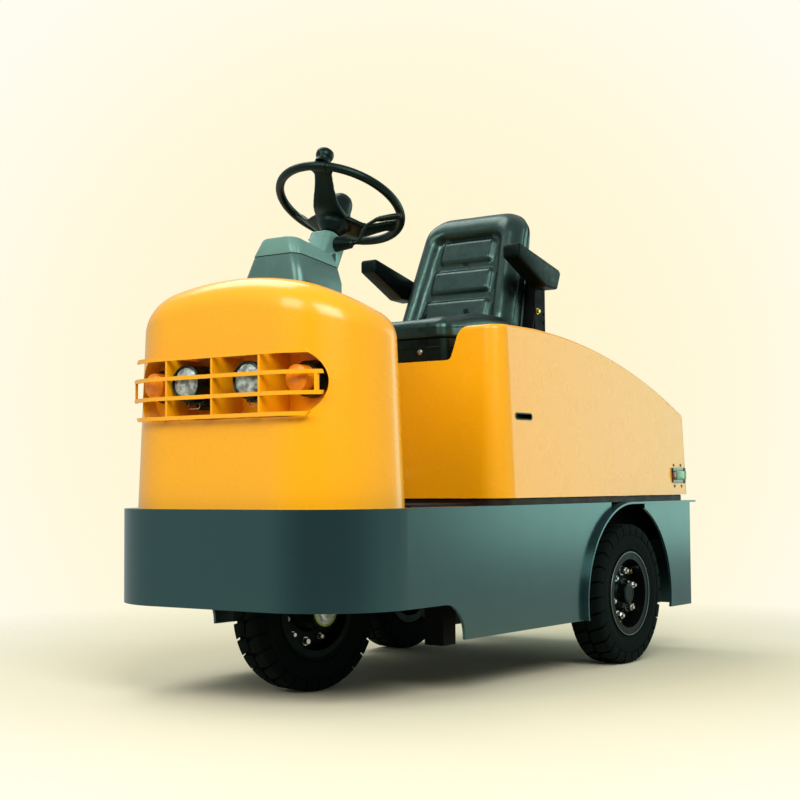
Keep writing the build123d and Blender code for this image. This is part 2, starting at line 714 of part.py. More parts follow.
def battery_hood():
    """Moulded shell, open below, with the seat well, hand slots and hinge barrels."""
    void = hood_body(SHELL_T) - seat_recess(SHELL_T)
    void += extrude(Pos(0, 0, HOOD_BOTTOM_Z) * hood_plan(SHELL_T), LIP)
    hood = hood_body(0) - seat_recess(0) - void - hood_slots()
    notch = HINGE_L / 2 + HINGE_EAR_T + RUN
    for side in (-1, 1):
        mid = side * HINGE_X
        hood -= rod((mid - notch, HINGE_Y, HINGE_Z), (mid + notch, HINGE_Y, HINGE_Z), HINGE_R + RUN)
        x = (mid - HINGE_L / 2, mid + HINGE_L / 2)
        ends = [(end, HINGE_Y, HINGE_Z) for end in x]
        barrel = rod(*ends, HINGE_R)
        barrel += block(x, (HINGE_Y - HINGE_R, HOOD_REAR_Y - LIP), (HINGE_Z, HINGE_Z + HINGE_TAB_H))
        hood += barrel - rod(*ends, HINGE_PIN_R + FIT)
    return hood


def tail_lamp():
    """Flat lamp let on to the hood's side near its rear edge."""
    y = HOOD_REAR_Y - TAIL_SET_IN
    case = block((HOOD_HALF_W - CUT, HOOD_HALF_W + TAIL_OUT), (y - TAIL_L / 2, y + TAIL_L / 2),
                 (TAIL_Z - TAIL_H / 2, TAIL_Z + TAIL_H / 2))
    return fillet(case.edges().filter_by(Axis.X), TAIL_R) - hood_body(0)


def seat_base():
    """Black seat pan that stands in the hood's well."""
    y = (SEAT_FRONT_Y, SEAT_FRONT_Y + SEAT_BASE_L)
    base = block((-SEAT_HALF_W, SEAT_HALF_W), y, (RECESS_FLOOR_Z, SEAT_BASE_Z))
    return fillet(base.edges().filter_by(Axis.Z), SEAT_BASE_R)


def seat_cushion():
    """Cushion with a front roll and a shallow dish between its side bolsters."""
    rear = BACK_FOOT_Y - BACK_T / 2 - SOFT_GAP
    top = SEAT_BASE_Z + CUSHION_H
    pad = block((-SEAT_HALF_W, SEAT_HALF_W), (SEAT_FRONT_Y, rear), (SEAT_BASE_Z, top))
    pad = fillet(pad.edges().filter_by(Axis.Z), CUSHION_R)
    pad = fillet(pad.faces().sort_by(Axis.Z)[-1].edges(), CUSHION_EDGE_R)
    dish = Pos(0, 0, top - CUSHION_DISH + CUSHION_DISH_R) * Rot(90, 0, 0)
    trough = dish * Cylinder(CUSHION_DISH_R, 4 * SEAT_BASE_L)
    dished = block((-CUSHION_DISH_W / 2, CUSHION_DISH_W / 2), (SEAT_FRONT_Y + CUT, rear), (0, 2 * top))
    return pad - (trough & dished)


def back_frame():
    """Plane at the backrest's foot, its Z up along the recline and its Y to the rear."""
    tilt = math.radians(BACK_TILT)
    return Plane(origin=(0, BACK_FOOT_Y, BACK_BOTTOM_Z), x_dir=(1, 0, 0),
                 z_dir=(0, math.sin(tilt), math.cos(tilt)))


def back_half_t(height):
    """Half thickness of the backrest at a height above its foot."""
    return (BACK_T + (BACK_TOP_T - BACK_T) * height / BACK_HEIGHT) / 2


def back_pocket():
    """Front pocket of the backrest, less the raised panels left standing in it."""
    mid_z = BACK_POCKET_LOW + BACK_POCKET_H / 2
    opening = Pos(0, mid_z) * RectangleRounded(BACK_POCKET_W, BACK_POCKET_H, BACK_POCKET_R)
    mouth = extrude(Plane.XZ * opening, BACK_T)
    face = Polygon(*[(-back_half_t(z) + BACK_POCKET_DEPTH, z) for z in (0, BACK_HEIGHT)],
                   (-BACK_T, BACK_HEIGHT), (-BACK_T, 0), align=None)
    pocket = mouth & extrude(Plane.YZ * face, BACK_HALF_W, both=True)
    panel_h = (BACK_POCKET_H - (BACK_PANELS + 1) * BACK_PANEL_GAP) / BACK_PANELS
    panel_w = BACK_POCKET_W - 2 * BACK_PANEL_GAP
    for row in range(BACK_PANELS):
        z = BACK_POCKET_LOW + BACK_PANEL_GAP + row * (panel_h + BACK_PANEL_GAP)
        floor = -back_half_t(z + panel_h / 2) + BACK_POCKET_DEPTH
        pocket -= block((-panel_w / 2, panel_w / 2), (floor - BACK_PANEL_RISE, BACK_T), (z, z + panel_h))
    return pocket


def seat_backrest():
    """Reclined pad that narrows and thins to the top, with rounded shoulders and a panelled pocket."""
    outline = Polygon((-BACK_HALF_W, 0), (BACK_HALF_W, 0), (BACK_TOP_HALF_W, BACK_HEIGHT),
                      (-BACK_TOP_HALF_W, BACK_HEIGHT), align=None)
    outline = fillet(outline.vertices().sort_by(Axis.Y)[-2:], BACK_TOP_R)
    low, high = BACK_T / 2, BACK_TOP_T / 2
    wedge = Polygon((-low, 0), (low, 0), (high, BACK_HEIGHT), (-high, BACK_HEIGHT), align=None)
    pad = extrude(Plane.XZ * outline, BACK_T, both=True)
    pad &= extrude(Plane.YZ * wedge, 2 * BACK_HALF_W, both=True)
    pad = fillet(pad.faces().sort_by(Axis.Y)[0].edges(), BACK_FRONT_R)
    pad = fillet(pad.faces().sort_by(Axis.Y)[-1].edges(), BACK_REAR_R)
    return back_frame() * (pad - back_pocket())


def seat_bracket():
    """Steel cradle: back plate on the backrest, two pierced side plates with arm pins, foot in the well."""
    inner, outer = BRACKET_X, BRACKET_X + BRACKET_T
    face = [(back_half_t(z) + FIT, z) for z in (0, BRACKET_H)]
    plate = Polygon(*face, (face[1][0] + BRACKET_T, BRACKET_H), (face[0][0] + BRACKET_T, 0), align=None)
    cradle = back_frame() * extrude(Plane.YZ * plate, outer, both=True)
    rear_y = RECESS_REAR_Y - RUN
    front_y = rear_y - BRACKET_L
    top = ARM_PIVOT_Z + 2 * ARM_PIN_R
    for side in (-1, 1):
        x = sorted((side * inner, side * outer))
        sheet = block(x, (front_y, rear_y), (RECESS_FLOOR_Z, top))
        for row in range(BRACKET_HOLES):
            z = BACK_BOTTOM_Z + (row + 1) * BRACKET_HOLE_PITCH
            sheet -= rod((x[0], rear_y - 2 * BRACKET_HOLE_R, z), (x[1], rear_y - 2 * BRACKET_HOLE_R, z),
                         BRACKET_HOLE_R)
        pin_end = side * (outer + RUN + ARM_W - ARM_PIN_END)
        pin = rod((side * inner, ARM_PIVOT_Y, ARM_PIVOT_Z), (pin_end, ARM_PIVOT_Y, ARM_PIVOT_Z), ARM_PIN_R)
        cradle += sheet + pin
    foot_z = (RECESS_FLOOR_Z, RECESS_FLOOR_Z + BRACKET_T)
    return cradle + block((-inner, inner), (SEAT_FRONT_Y + SEAT_BASE_L, rear_y), foot_z)


def armrest():
    """Bevelled wedge pad that rises to the front, turning on the bracket's pin."""
    x0 = BRACKET_X + BRACKET_T + RUN
    front_y = ARM_PIVOT_Y - ARM_REACH
    rear_y = ARM_PIVOT_Y + ARM_TAIL
    front_z = ARM_PIVOT_Z + ARM_FRONT_RISE
    rear_z = ARM_PIVOT_Z - ARM_REAR_DROP
    side = Polygon((rear_y - ARM_TAIL_CHAMFER, rear_z),
                   (rear_y + ARM_TAIL_CHAMFER, rear_z + ARM_REAR_H - ARM_TAIL_CHAMFER),
                   (rear_y, rear_z + ARM_REAR_H), (front_y + ARM_NOSE, front_z + ARM_FRONT_H),
                   (front_y, front_z + ARM_FRONT_H - ARM_NOSE), (front_y, front_z), align=None)
    pad = extrude(Plane.YZ.offset(x0) * side, ARM_W)
    pad = chamfer(pad.faces().sort_by(Axis.X)[-1].edges(), ARM_EDGE)
    pin_end = x0 + ARM_W - ARM_PIN_END + FIT
    return pad - rod((0, ARM_PIVOT_Y, ARM_PIVOT_Z), (pin_end, ARM_PIVOT_Y, ARM_PIVOT_Z), ARM_PIN_R + FIT)


def steering_rim():
    """Steering wheel: rim with spokes down to a dished hub on its stem."""
    wheel = Torus(WHEEL_R, RIM_TUBE_R)
    wheel += Pos(0, 0, -HUB_DROP) * Cylinder(HUB_R, HUB_H)
    wheel += rod((0, 0, -COLUMN_DROP + FIT), (0, 0, -HUB_DROP), STEM_R)
    root = Plane.YZ.offset(HUB_R - SPOKE_SET_IN) * Pos(0, -HUB_DROP) * Rectangle(SPOKE_ROOT_W, SPOKE_ROOT_T)
    end = Plane.YZ.offset(WHEEL_R - RIM_TUBE_R / 2) * Rectangle(SPOKE_END_W, SPOKE_END_T)
    for i in range(SPOKES):
        wheel += Rot(0, 0, SPOKE_ANGLE + i * 360 / SPOKES) * loft([root, end], ruled=True)
    return column_frame() * wheel


def horn_button():
    """Domed button on the hub."""
    top = -HUB_DROP + HUB_H / 2
    ball_r = (BUTTON_R ** 2 + BUTTON_RISE ** 2) / (2 * BUTTON_RISE)
    dome = Pos(0, 0, top + BUTTON_RISE - ball_r) * Sphere(ball_r)
    return column_frame() * (dome & rod((0, 0, top), (0, 0, top + 2 * BUTTON_RISE), BUTTON_R))


def spinner_knob():
    """Turning knob on a post, its clip bored for the rim above the front spoke."""
    sag = CLIP_L ** 2 / (8 * WHEEL_R)
    bore = RIM_TUBE_R + sag + FIT
    width = 2 * (bore + CLIP_T)
    low = SPOKE_END_T / 2 + FIT
    clip = block((-width / 2, width / 2), (-CLIP_L / 2, CLIP_L / 2), (low, width / 2))
    clip -= rod((0, -CLIP_L, 0), (0, CLIP_L, 0), bore)
    base = width / 2
    post = rod((0, 0, base), (0, 0, base + KNOB_POST_H), KNOB_POST_R)
    knob = Pos(0, 0, base + KNOB_POST_H + KNOB_H / 2) * Cylinder(KNOB_R, KNOB_H)
    knob = chamfer(knob.edges(), KNOB_CHAMFER)
    return column_frame() * Rot(0, 0, SPOKE_ANGLE) * Pos(WHEEL_R, 0, 0) * (clip + post + knob)


def tyre():
    """Tyre round X at the origin: carcass with block lugs on both shoulders, out to the tread radius."""
    w = TYRE_W / 2
    bed = TYRE_R - LUG_H
    seat, shoulder = w - BEAD_SET_IN, w - SHOULDER_SET_IN
    rubber = turned((-seat, BEAD_R), (seat, BEAD_R), (shoulder, bed), (-shoulder, bed))
    lug_w = 2 * math.pi * TYRE_R / LUG_COUNT - LUG_GAP
    tip = math.sqrt(TYRE_R ** 2 - lug_w ** 2 / 4)
    lug = Polygon((w - LUG_REACH, bed - LUG_ROOT), (w - LUG_REACH, tip), (w - LUG_TAPER, tip),
                  (w, bed - LUG_DROP), align=None)
    lug = extrude(Plane.XZ * lug, lug_w / 2, both=True)
    step = 360 / LUG_COUNT
    for side, first in ((lug, 0), (mirror(lug, about=Plane.YZ), step / 2)):
        rubber += [Rot(first + i * step, 0, 0) * side for i in range(LUG_COUNT)]
    return rubber


def rim_barrel():
    """Rolled rim with two flanges outside the tyre's beads."""
    seat = TYRE_W / 2 - BEAD_SET_IN
    inner, outer = seat + FLANGE_GAP, seat + FLANGE_GAP + FLANGE_T
    bed, lip, well = BEAD_R - FIT, BEAD_R + FLANGE_H, BEAD_R - WELL_T
    return turned((-outer, well), (outer, well), (outer, lip), (inner, lip), (inner, bed),
                  (-inner, bed), (-inner, lip), (-outer, lip))


def front_rim():
    """Rim with a disc on a through bore for the axle bolt."""
    bore, well = AXLE_BOLT_R + FIT, BEAD_R - WELL_T + LIP
    disc = turned((-BOSS_L, bore), (BOSS_L, bore), (BOSS_L, BOSS_R), (DISC_T, BOSS_ROOT_R), (DISC_T, well),
                  (-DISC_T, well), (-DISC_T, BOSS_ROOT_R), (-BOSS_L, BOSS_R))
    return rim_barrel() + disc


def rear_rim():
    """Rim with a deep disc, a hub boss and a closed cap over the spindle's end."""
    bore, well = SPINDLE_R + FIT, BEAD_R - WELL_T + LIP
    x, end = REAR_DISC_X, SPINDLE_OUT + FIT
    boss = x + BOSS_L
    disc = turned((x, bore), (end, bore), (end, 0), (boss + CAP_L, 0), (boss + CAP_L, CAP_R), (boss, CAP_R),
                  (boss, BOSS_R), (x + DISC_T, BOSS_ROOT_R), (x + DISC_T, well), (x, well))
    return rim_barrel() + disc


def front_fork():
    """Fork over the front wheel: kingpin, crown, two legs and the axle bolt, its axis at the origin."""
    leg_x = TYRE_W / 2 + FORK_SIDE_GAP
    crown_top = DECK_Z - DECK_T - TURN_PLATE_T - RUN
    fork = Pos(0, 0, crown_top - CROWN_T / 2) * Cylinder(CROWN_R, CROWN_T)
    fork += rod((0, 0, crown_top - CROWN_T), (0, 0, DECK_Z - DECK_T), KINGPIN_R)
    leg = Pos(0, (crown_top + TYRE_R) / 2) * Rectangle(FORK_LEG_W, crown_top - TYRE_R)
    leg += Pos(0, TYRE_R) * Circle(FORK_LEG_W / 2)
    for x in (leg_x, -leg_x - FORK_LEG_T):
        fork += extrude(Plane.YZ.offset(x) * leg, FORK_LEG_T)
    reach = leg_x + FORK_LEG_T + AXLE_BOLT_OUT
    return fork + rod((-reach, 0, TYRE_R), (reach, 0, TYRE_R), AXLE_BOLT_R)


def rear_axle():
    """Drive axle: tube, gearbox, motor, rail seats and the wheel spindles."""
    y, z = REAR_AXLE_Y, TYRE_R
    spindle = REAR_TRACK_X + SPINDLE_OUT
    axle = rod((-AXLE_HALF_L, y, z), (AXLE_HALF_L, y, z), AXLE_TUBE_R)
    axle += rod((-spindle, y, z), (spindle, y, z), SPINDLE_R)
    axle += rod((-GEARBOX_W / 2, y, z), (GEARBOX_W / 2, y, z), GEARBOX_R)
    axle += rod((0, y, z), (0, y - GEARBOX_R - MOTOR_L, z), MOTOR_R)
    under = DECK_Z - DECK_T - RAIL_H
    for side in (-1, 1):
        x = (side * RAIL_X - RAIL_W / 2, side * RAIL_X + RAIL_W / 2)
        axle += block(x, (y - AXLE_SEAT_L / 2, y + AXLE_SEAT_L / 2), (z, under))
    return axle


def tow_coupler():
    """Pin jaw on the rear plate."""
    half = JAW_W / 2 + JAW_BASE_LAP
    upper_z = JAW_LOW_Z + JAW_T + JAW_GAP
    jaw = block((-half, half), (REAR_Y, REAR_Y + JAW_BASE_T),
                (JAW_LOW_Z - JAW_BASE_RISE, upper_z + JAW_T + JAW_BASE_RISE))
    tongue = Pos(0, (REAR_Y + TOW_PIN_Y) / 2) * Rectangle(JAW_W, TOW_PIN_Y - REAR_Y)
    tongue += Pos(0, TOW_PIN_Y) * Circle(REAR_Y + JAW_LEN - TOW_PIN_Y)
    for z in (JAW_LOW_Z, upper_z):
        jaw += extrude(Pos(0, 0, z) * tongue, JAW_T)
    return jaw - Pos(0, TOW_PIN_Y, JAW_LOW_Z) * Cylinder(TOW_BORE_R, 8 * JAW_GAP)


def tow_pin():
    """Drop pin with a collar and a cross handle."""
    top = JAW_LOW_Z + 2 * JAW_T + JAW_GAP
    head = top + TOW_PIN_TOP
    pin = rod((0, TOW_PIN_Y, JAW_LOW_Z - TOW_PIN_BELOW), (0, TOW_PIN_Y, head), TOW_PIN_R)
    pin += rod((0, TOW_PIN_Y, top), (0, TOW_PIN_Y, top + TOW_COLLAR_T), TOW_COLLAR_R)
    return pin + rod((-TOW_HANDLE_L / 2, TOW_PIN_Y, head), (TOW_HANDLE_L / 2, TOW_PIN_Y, head), TOW_HANDLE_R)


# Chassis and sheet metal
save(bumper_skirt(), "bumper_skirt")
save(rear_skirt(), "rear_skirt")
save_pair(fender_strip(), "fender_strip")
save(chassis_frame(), "chassis_frame")
save(floor_deck(), "floor_deck")
save(floor_mat(), "floor_mat")
save(battery_block(), "battery_block")

# Cowl, lamps and controls
save(front_cowl(), "front_cowl")
save(lamp_grille(), "lamp_grille")
save(lamp_bracket(), "lamp_bracket")
save_pair(headlamp(), "headlamp")
save_pair(headlamp_lens(), "headlamp_lens")
save_pair(turn_lamp(), "turn_lamp")
save(column_housing(), "column_housing")
save(dash_console(), "dash_console")
save(dash_lid(), "dash_lid")
save(control_lever(), "control_lever")
save(pedal(BRAKE_X, BRAKE_W), "brake_pedal")
save(pedal(ACCELERATOR_X, ACCELERATOR_W), "accelerator_pedal")

# Hood and seat
save(battery_hood(), "battery_hood")
save_pair(tail_lamp(), "tail_lamp")
save(seat_base(), "seat_base")
save(seat_cushion(), "seat_cushion")
save(seat_backrest(), "seat_backrest")
save(seat_bracket(), "seat_bracket")
save_pair(armrest(), "armrest")

# Steering wheel
save(steering_rim(), "steering_rim")
save(horn_button(), "horn_button")
save(spinner_knob(), "spinner_knob")

# Running gear and coupler
front_place = Pos(0, FRONT_AXLE_Y, 0) * Rot(0, 0, REST_STEER)
front_wheel = front_place * Pos(0, 0, TYRE_R)
save(front_place * front_fork(), "front_fork")
save(front_wheel * tyre(), "front_tyre")
save(front_wheel * front_rim(), "front_rim")
rear_wheel = Pos(REAR_TRACK_X, REAR_AXLE_Y, TYRE_R)
save_pair(rear_wheel * tyre(), "rear_tyre")
save_pair(rear_wheel * rear_rim(), "rear_rim")
save(rear_axle(), "rear_axle")
save(tow_coupler(), "tow_coupler")
save(tow_pin(), "tow_pin")
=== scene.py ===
"""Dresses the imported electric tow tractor: materials, soft parts, tyres, lamps, trim, stage and camera."""
import math

import bmesh
import bpy
from mathutils import Matrix, Vector, noise


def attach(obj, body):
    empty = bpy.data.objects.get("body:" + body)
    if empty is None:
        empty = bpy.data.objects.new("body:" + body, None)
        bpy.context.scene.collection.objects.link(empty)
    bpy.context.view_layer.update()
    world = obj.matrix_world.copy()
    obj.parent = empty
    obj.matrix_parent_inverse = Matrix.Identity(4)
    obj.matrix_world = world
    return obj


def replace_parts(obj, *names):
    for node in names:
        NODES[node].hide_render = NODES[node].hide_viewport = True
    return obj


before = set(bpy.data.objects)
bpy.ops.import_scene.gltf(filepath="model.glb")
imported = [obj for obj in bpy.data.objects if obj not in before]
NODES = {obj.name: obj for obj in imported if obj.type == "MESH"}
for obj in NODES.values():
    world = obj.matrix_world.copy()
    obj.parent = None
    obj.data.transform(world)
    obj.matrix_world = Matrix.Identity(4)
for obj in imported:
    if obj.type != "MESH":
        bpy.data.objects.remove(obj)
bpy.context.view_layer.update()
SIDES = ((1, "left"), (-1, "right"))
TO_FRONT = (0, -1, 0)
TO_REAR = (0, 1, 0)

# Camera
CAM_PLACE = Vector((2.529, -3.699, 0.539))
CAM_YAW = math.radians(35.6)
CAM_PITCH = math.radians(3.2)
CAM_ROLL = math.radians(-0.4)
CAM_FOV = math.radians(29.82)

# Wheels
TYRE_R = 0.2075
TYRE_HALF_W = 0.0525
LUGS = 28
LUG_HALF = math.radians(5.5)
LUG_STEPS = 4
LUG_SKEW = 0.09
REST_STEER = math.radians(-10.5)
FRONT_WHEEL = Matrix.Translation((0, -0.6, TYRE_R)) @ Matrix.Rotation(REST_STEER, 4, "Z")
REAR_X = 0.4025
REAR_AXLE_Y = 0.38

# Body levels
DECK_Z = 0.48
HOOD_HALF_W = 0.424
HOOD_FRONT_Y = -0.294
HOOD_REAR_Y = 0.866
HOOD_BOTTOM_Z = 0.499
HOOD_DRAFT = math.radians(2.4)
LAMP_CENTRE_Z = 0.795
POCKET_Y = -0.852
HEADLAMP_X = 0.102
HEADLAMP_FACE_Y = POCKET_Y - 0.094
TURN_LAMP_X = 0.237
TAIL_Y = HOOD_REAR_Y - 0.076
TAIL_Z = 0.561
HAND_SLOT_Y = -0.165
HAND_SLOT_Z = 0.721

# Steering column
WHEEL_CENTRE = Vector((0, -0.444, 1.312))
WHEEL_TILT = math.radians(27.3)
COLUMN = Matrix.Translation(WHEEL_CENTRE) @ Matrix.Rotation(-WHEEL_TILT, 4, "X")
RIM_R = 0.174
RIM_TUBE_R = 0.0124
SPOKE_ANGLE = math.radians(-73)

# Seat
BACK_FOOT = Vector((0, 0.137, 0.975))
BACK_TILT = math.radians(18.5)
BACK = Matrix.Translation(BACK_FOOT) @ Matrix.Rotation(-BACK_TILT, 4, "X")
BACK_L = 0.434
BACK_HALF_W = 0.202
BACK_TAPER = 0.032
BACK_HALF_T = 0.059
BACK_THINNING = 0.019
CUSHION_HALF_W = 0.236
CUSHION_L = 0.354
CUSHION_HALF_T = 0.041
CUSHION_FRONT_Y = -0.278
CUSHION_MID_Z = 0.981
CUSHION_SEAM_X = 0.158
# Corner radii at the near and the far end, edge radii on the show side and the rear
BACK_ROUNDING = (0.06, 0.075, 0.044, 0.01)
CUSHION_ROUNDING = (0.036, 0.03, 0.028, 0.012)
ARM_PIVOT_Y = 0.243
ARM_PIVOT_Z = 1.152
ARM_INNER_X = 0.232
ARM_W = 0.057


def tone(red, green, blue):
    """Linear colour of an sRGB triple from 0 to 255."""
    parts = []
    for value in (red, green, blue):
        share = value / 255
        parts.append(share / 12.92 if share <= 0.04045 else ((share + 0.055) / 1.055) ** 2.4)
    return tuple(parts)


def scaled(color, factor):
    return tuple(min(part * factor, 1.0) for part in color) + (1.0,)


def smooth(low, high, value):
    """Smooth step from 0 at low to 1 at high."""
    t = min(max((value - low) / (high - low), 0.0), 1.0)
    return t * t * (3 - 2 * t)


def new_material(name):
    material = bpy.data.materials.new(name)
    material.use_nodes = True
    tree = material.node_tree
    coords = tree.nodes.new("ShaderNodeTexCoord")
    return material, tree, tree.nodes["Principled BSDF"], coords.outputs["Object"]


def add_noise(tree, vector, scale, detail=4.0):
    cloud = tree.nodes.new("ShaderNodeTexNoise")
    cloud.inputs["Scale"].default_value = scale
    cloud.inputs["Detail"].default_value = detail
    tree.links.new(vector, cloud.inputs["Vector"])
    return cloud.outputs["Fac"]


def add_range(tree, value, low, high, first, last):
    node = tree.nodes.new("ShaderNodeMapRange")
    for key, number in (("From Min", low), ("From Max", high), ("To Min", first), ("To Max", last)):
        node.inputs[key].default_value = number
    tree.links.new(value, node.inputs["Value"])
    return node.outputs["Result"]


def add_ramp(tree, value, *stops):
    """Colour that runs between two stops, each a place and a colour."""
    ramp = tree.nodes.new("ShaderNodeValToRGB")
    for element, (place, color) in zip(ramp.color_ramp.elements, stops):
        element.position = place
        element.color = color
    tree.links.new(value, ramp.inputs["Fac"])
    return ramp.outputs["Color"]


def add_bump(tree, shader, height, strength):
    """Fine relief on a shader's normal."""
    bump = tree.nodes.new("ShaderNodeBump")
    bump.inputs["Strength"].default_value = strength
    bump.inputs["Distance"].default_value = 0.001
    tree.links.new(height, bump.inputs["Height"])
    tree.links.new(bump.outputs["Normal"], shader.inputs["Normal"])


def add_dust(tree, place, paint, amount):
    """Pale dust in spots, thicker near the ground."""
    links = tree.links
    split = tree.nodes.new("ShaderNodeSeparateXYZ")
    links.new(place, split.inputs["Vector"])
    share = tree.nodes.new("ShaderNodeMath")
    share.operation = "MULTIPLY"
    links.new(add_range(tree, split.outputs["Z"], 0.12, 0.55, amount, 0.0), share.inputs[0])
    links.new(add_range(tree, add_noise(tree, place, 14.0, 8.0), 0.42, 0.72, 0.0, 1.0), share.inputs[1])
    mix = tree.nodes.new("ShaderNodeMix")
    mix.data_type = "RGBA"
    links.new(share.outputs["Value"], mix.inputs["Factor"])
    links.new(paint, mix.inputs["A"])
    mix.inputs["B"].default_value = scaled(tone(128, 122, 108), 1)
    return mix.outputs["Result"]


def surface(name, color, rough, metal=0.0, coat=0.0, gloss=0.5, tint=(1.0, 1.0, 1.0), spread=0.07,
            patch=4.0, rough_spread=0.07, grain=0.06, grain_size=420.0, cells=False, dust=0.0):
    """Opaque finish with mottled colour, uneven gloss, fine grain and optional dust low down."""
    material, tree, shader, place = new_material(name)
    links = tree.links
    paint = add_ramp(tree, add_noise(tree, place, patch, 6.0),
                     (0.32, scaled(color, 1 - spread)), (0.68, scaled(color, 1 + spread)))
    if dust:
        paint = add_dust(tree, place, paint, dust)
    links.new(paint, shader.inputs["Base Color"])
    uneven = add_noise(tree, place, patch * 7, 5.0)
    links.new(add_range(tree, uneven, 0.3, 0.7, max(rough - rough_spread, 0.03), rough + rough_spread),
              shader.inputs["Roughness"])
    shader.inputs["Metallic"].default_value = metal
    shader.inputs["Coat Weight"].default_value = coat
    shader.inputs["Coat Roughness"].default_value = 0.08
    shader.inputs["Specular IOR Level"].default_value = gloss
    shader.inputs["Specular Tint"].default_value = (*tint, 1.0)
    if cells:
        skin = tree.nodes.new("ShaderNodeTexVoronoi")
        skin.inputs["Scale"].default_value = grain_size
        links.new(place, skin.inputs["Vector"])
        height = skin.outputs["Distance"]
    else:
        height = add_noise(tree, place, grain_size, 3.0)
    add_bump(tree, shader, height, grain)
    return material


def clear(name, color, rough, through, ribs, mottle_and_facet_shade=0.9):
    """Lens: coloured clear plastic or glass with moulded ribs, faint haze and mottled colour; a deep mottle
    paints dark facet reflections into the colour.
    """
    material, tree, shader, place = new_material(name)
    links = tree.links
    paint = add_ramp(tree, add_noise(tree, place, 75.0),
                     (0.4, scaled(color, mottle_and_facet_shade)), (0.6, scaled(color, 1.05)))
    links.new(paint, shader.inputs["Base Color"])
    links.new(add_range(tree, add_noise(tree, place, 60.0), 0.3, 0.7, rough * 0.6, rough * 1.4),
              shader.inputs["Roughness"])
    shader.inputs["Transmission Weight"].default_value = through
    shader.inputs["IOR"].default_value = 1.45
    wave = tree.nodes.new("ShaderNodeTexWave")
    wave.inputs["Scale"].default_value = ribs
    wave.inputs["Distortion"].default_value = 0.4
    links.new(place, wave.inputs["Vector"])
    add_bump(tree, shader, wave.outputs["Fac"], 0.25)
    return material


# Cool green cast of the dark finishes' reflections
CAST_TINT = (0.5, 1.0, 0.84)

YELLOW = surface("paint_yellow", tone(252, 173, 8), 0.27, coat=0.2, spread=0.008, patch=2.0,
                 rough_spread=0.015, grain=0.03, grain_size=260.0)
GREEN = surface("paint_green", tone(27, 45, 49), 0.21, gloss=0.95, tint=(0.48, 1.0, 0.93), spread=0.02,
                patch=2.5, rough_spread=0.012, grain=0.03, grain_size=320.0)
CONSOLE = surface("console_grey", tone(64, 92, 88), 0.3, gloss=0.9, tint=(0.6, 1.0, 0.9), spread=0.03,
                  grain=0.08, grain_size=700.0)
# Lighter copy of the console grey for the lid, column housing and collar: painted sheen of faces that turn
# up to the light
CONSOLE_SHEEN = surface("console_grey_painted_sheen", tone(96, 134, 125), 0.34, gloss=0.8, tint=(0.6, 1.0, 0.9), spread=0.03,
              grain=0.1, grain_size=700.0)
# Black frame paint, set darker still as painted shade of the dim space under the body
FRAME = surface("frame_black", tone(8, 9, 11), 0.6, gloss=0.08, spread=0.15, grain=0.1)
RIM_BLACK = surface("rim_black", tone(7, 8, 9), 0.4, gloss=0.1, tint=CAST_TINT, spread=0.12, grain=0.06)
PLASTIC = surface("black_plastic", tone(6, 7, 9), 0.3, gloss=0.35, tint=CAST_TINT, spread=0.1, grain=0.15,
                  grain_size=900.0)
GRIP = surface("grip_black", tone(5, 6, 7), 0.36, gloss=0.3, tint=CAST_TINT, spread=0.08, grain=0.05,
               grain_size=1100.0, cells=True)
VINYL = surface("vinyl_black", tone(7, 10, 10), 0.34, gloss=0.9, tint=(0.55, 1.0, 0.88), spread=0.08,
                patch=9.0, grain=0.04, grain_size=520.0, cells=True)
TYRE = surface("tyre_rubber", tone(10, 14, 14), 0.85, gloss=0.08, tint=CAST_TINT, spread=0.12, patch=18.0,
               grain=0.25, grain_size=380.0)
RUBBER = surface("rubber_black", tone(15, 15, 15), 0.6, gloss=0.3, spread=0.1, grain=0.25, grain_size=600.0)
ARM = surface("arm_black", tone(6, 8, 8), 0.42, gloss=0.14, tint=CAST_TINT, spread=0.08, patch=9.0,
              grain=0.06, grain_size=520.0, cells=True)
# Seal strip under the hood's edge, coloured dark brown as painted shade of the gap
SEAL_SHADE = surface("seal_painted_shade", tone(34, 18, 6), 0.55, gloss=0.3, spread=0.1, grain=0.2, grain_size=600.0)
STEEL = surface("steel_plate", tone(176, 182, 180), 0.34, metal=1.0, spread=0.08, patch=12.0, grain=0.1,
                grain_size=800.0)
EDGE = surface("flange_edge", tone(96, 108, 104), 0.4, metal=0.8, spread=0.1, patch=20.0, grain=0.1)
BAND = surface("band_grey", tone(150, 166, 152), 0.42, spread=0.06, grain=0.1)
CAST = surface("cast_grey", tone(40, 42, 42), 0.62, gloss=0.35, spread=0.14, patch=14.0, grain=0.5,
               grain_size=240.0, dust=0.12)
ZINC = surface("zinc_bolt", tone(196, 198, 196), 0.26, metal=1.0, spread=0.1, patch=30.0, grain=0.08)
BRASS = surface("brass_nut", tone(196, 176, 84), 0.3, metal=1.0, spread=0.1, patch=30.0, grain=0.08)
# Brass of the tail lamp screws, darkened as painted shadow round their small heads
SHADED_BRASS = surface("brass_painted_shadow", tone(92, 66, 12), 0.4, metal=0.3, spread=0.1, patch=30.0, grain=0.08)
CAP = surface("vent_cap", tone(196, 120, 20), 0.4, spread=0.06, patch=20.0, grain=0.1)
RING_GREEN = surface("ring_green", tone(150, 188, 62), 0.4, spread=0.1, patch=20.0, grain=0.1)
CHROME = surface("reflector", tone(236, 242, 240), 0.2, metal=1.0, spread=0.05, patch=30.0,
                 rough_spread=0.06, grain=0.3, grain_size=70.0)
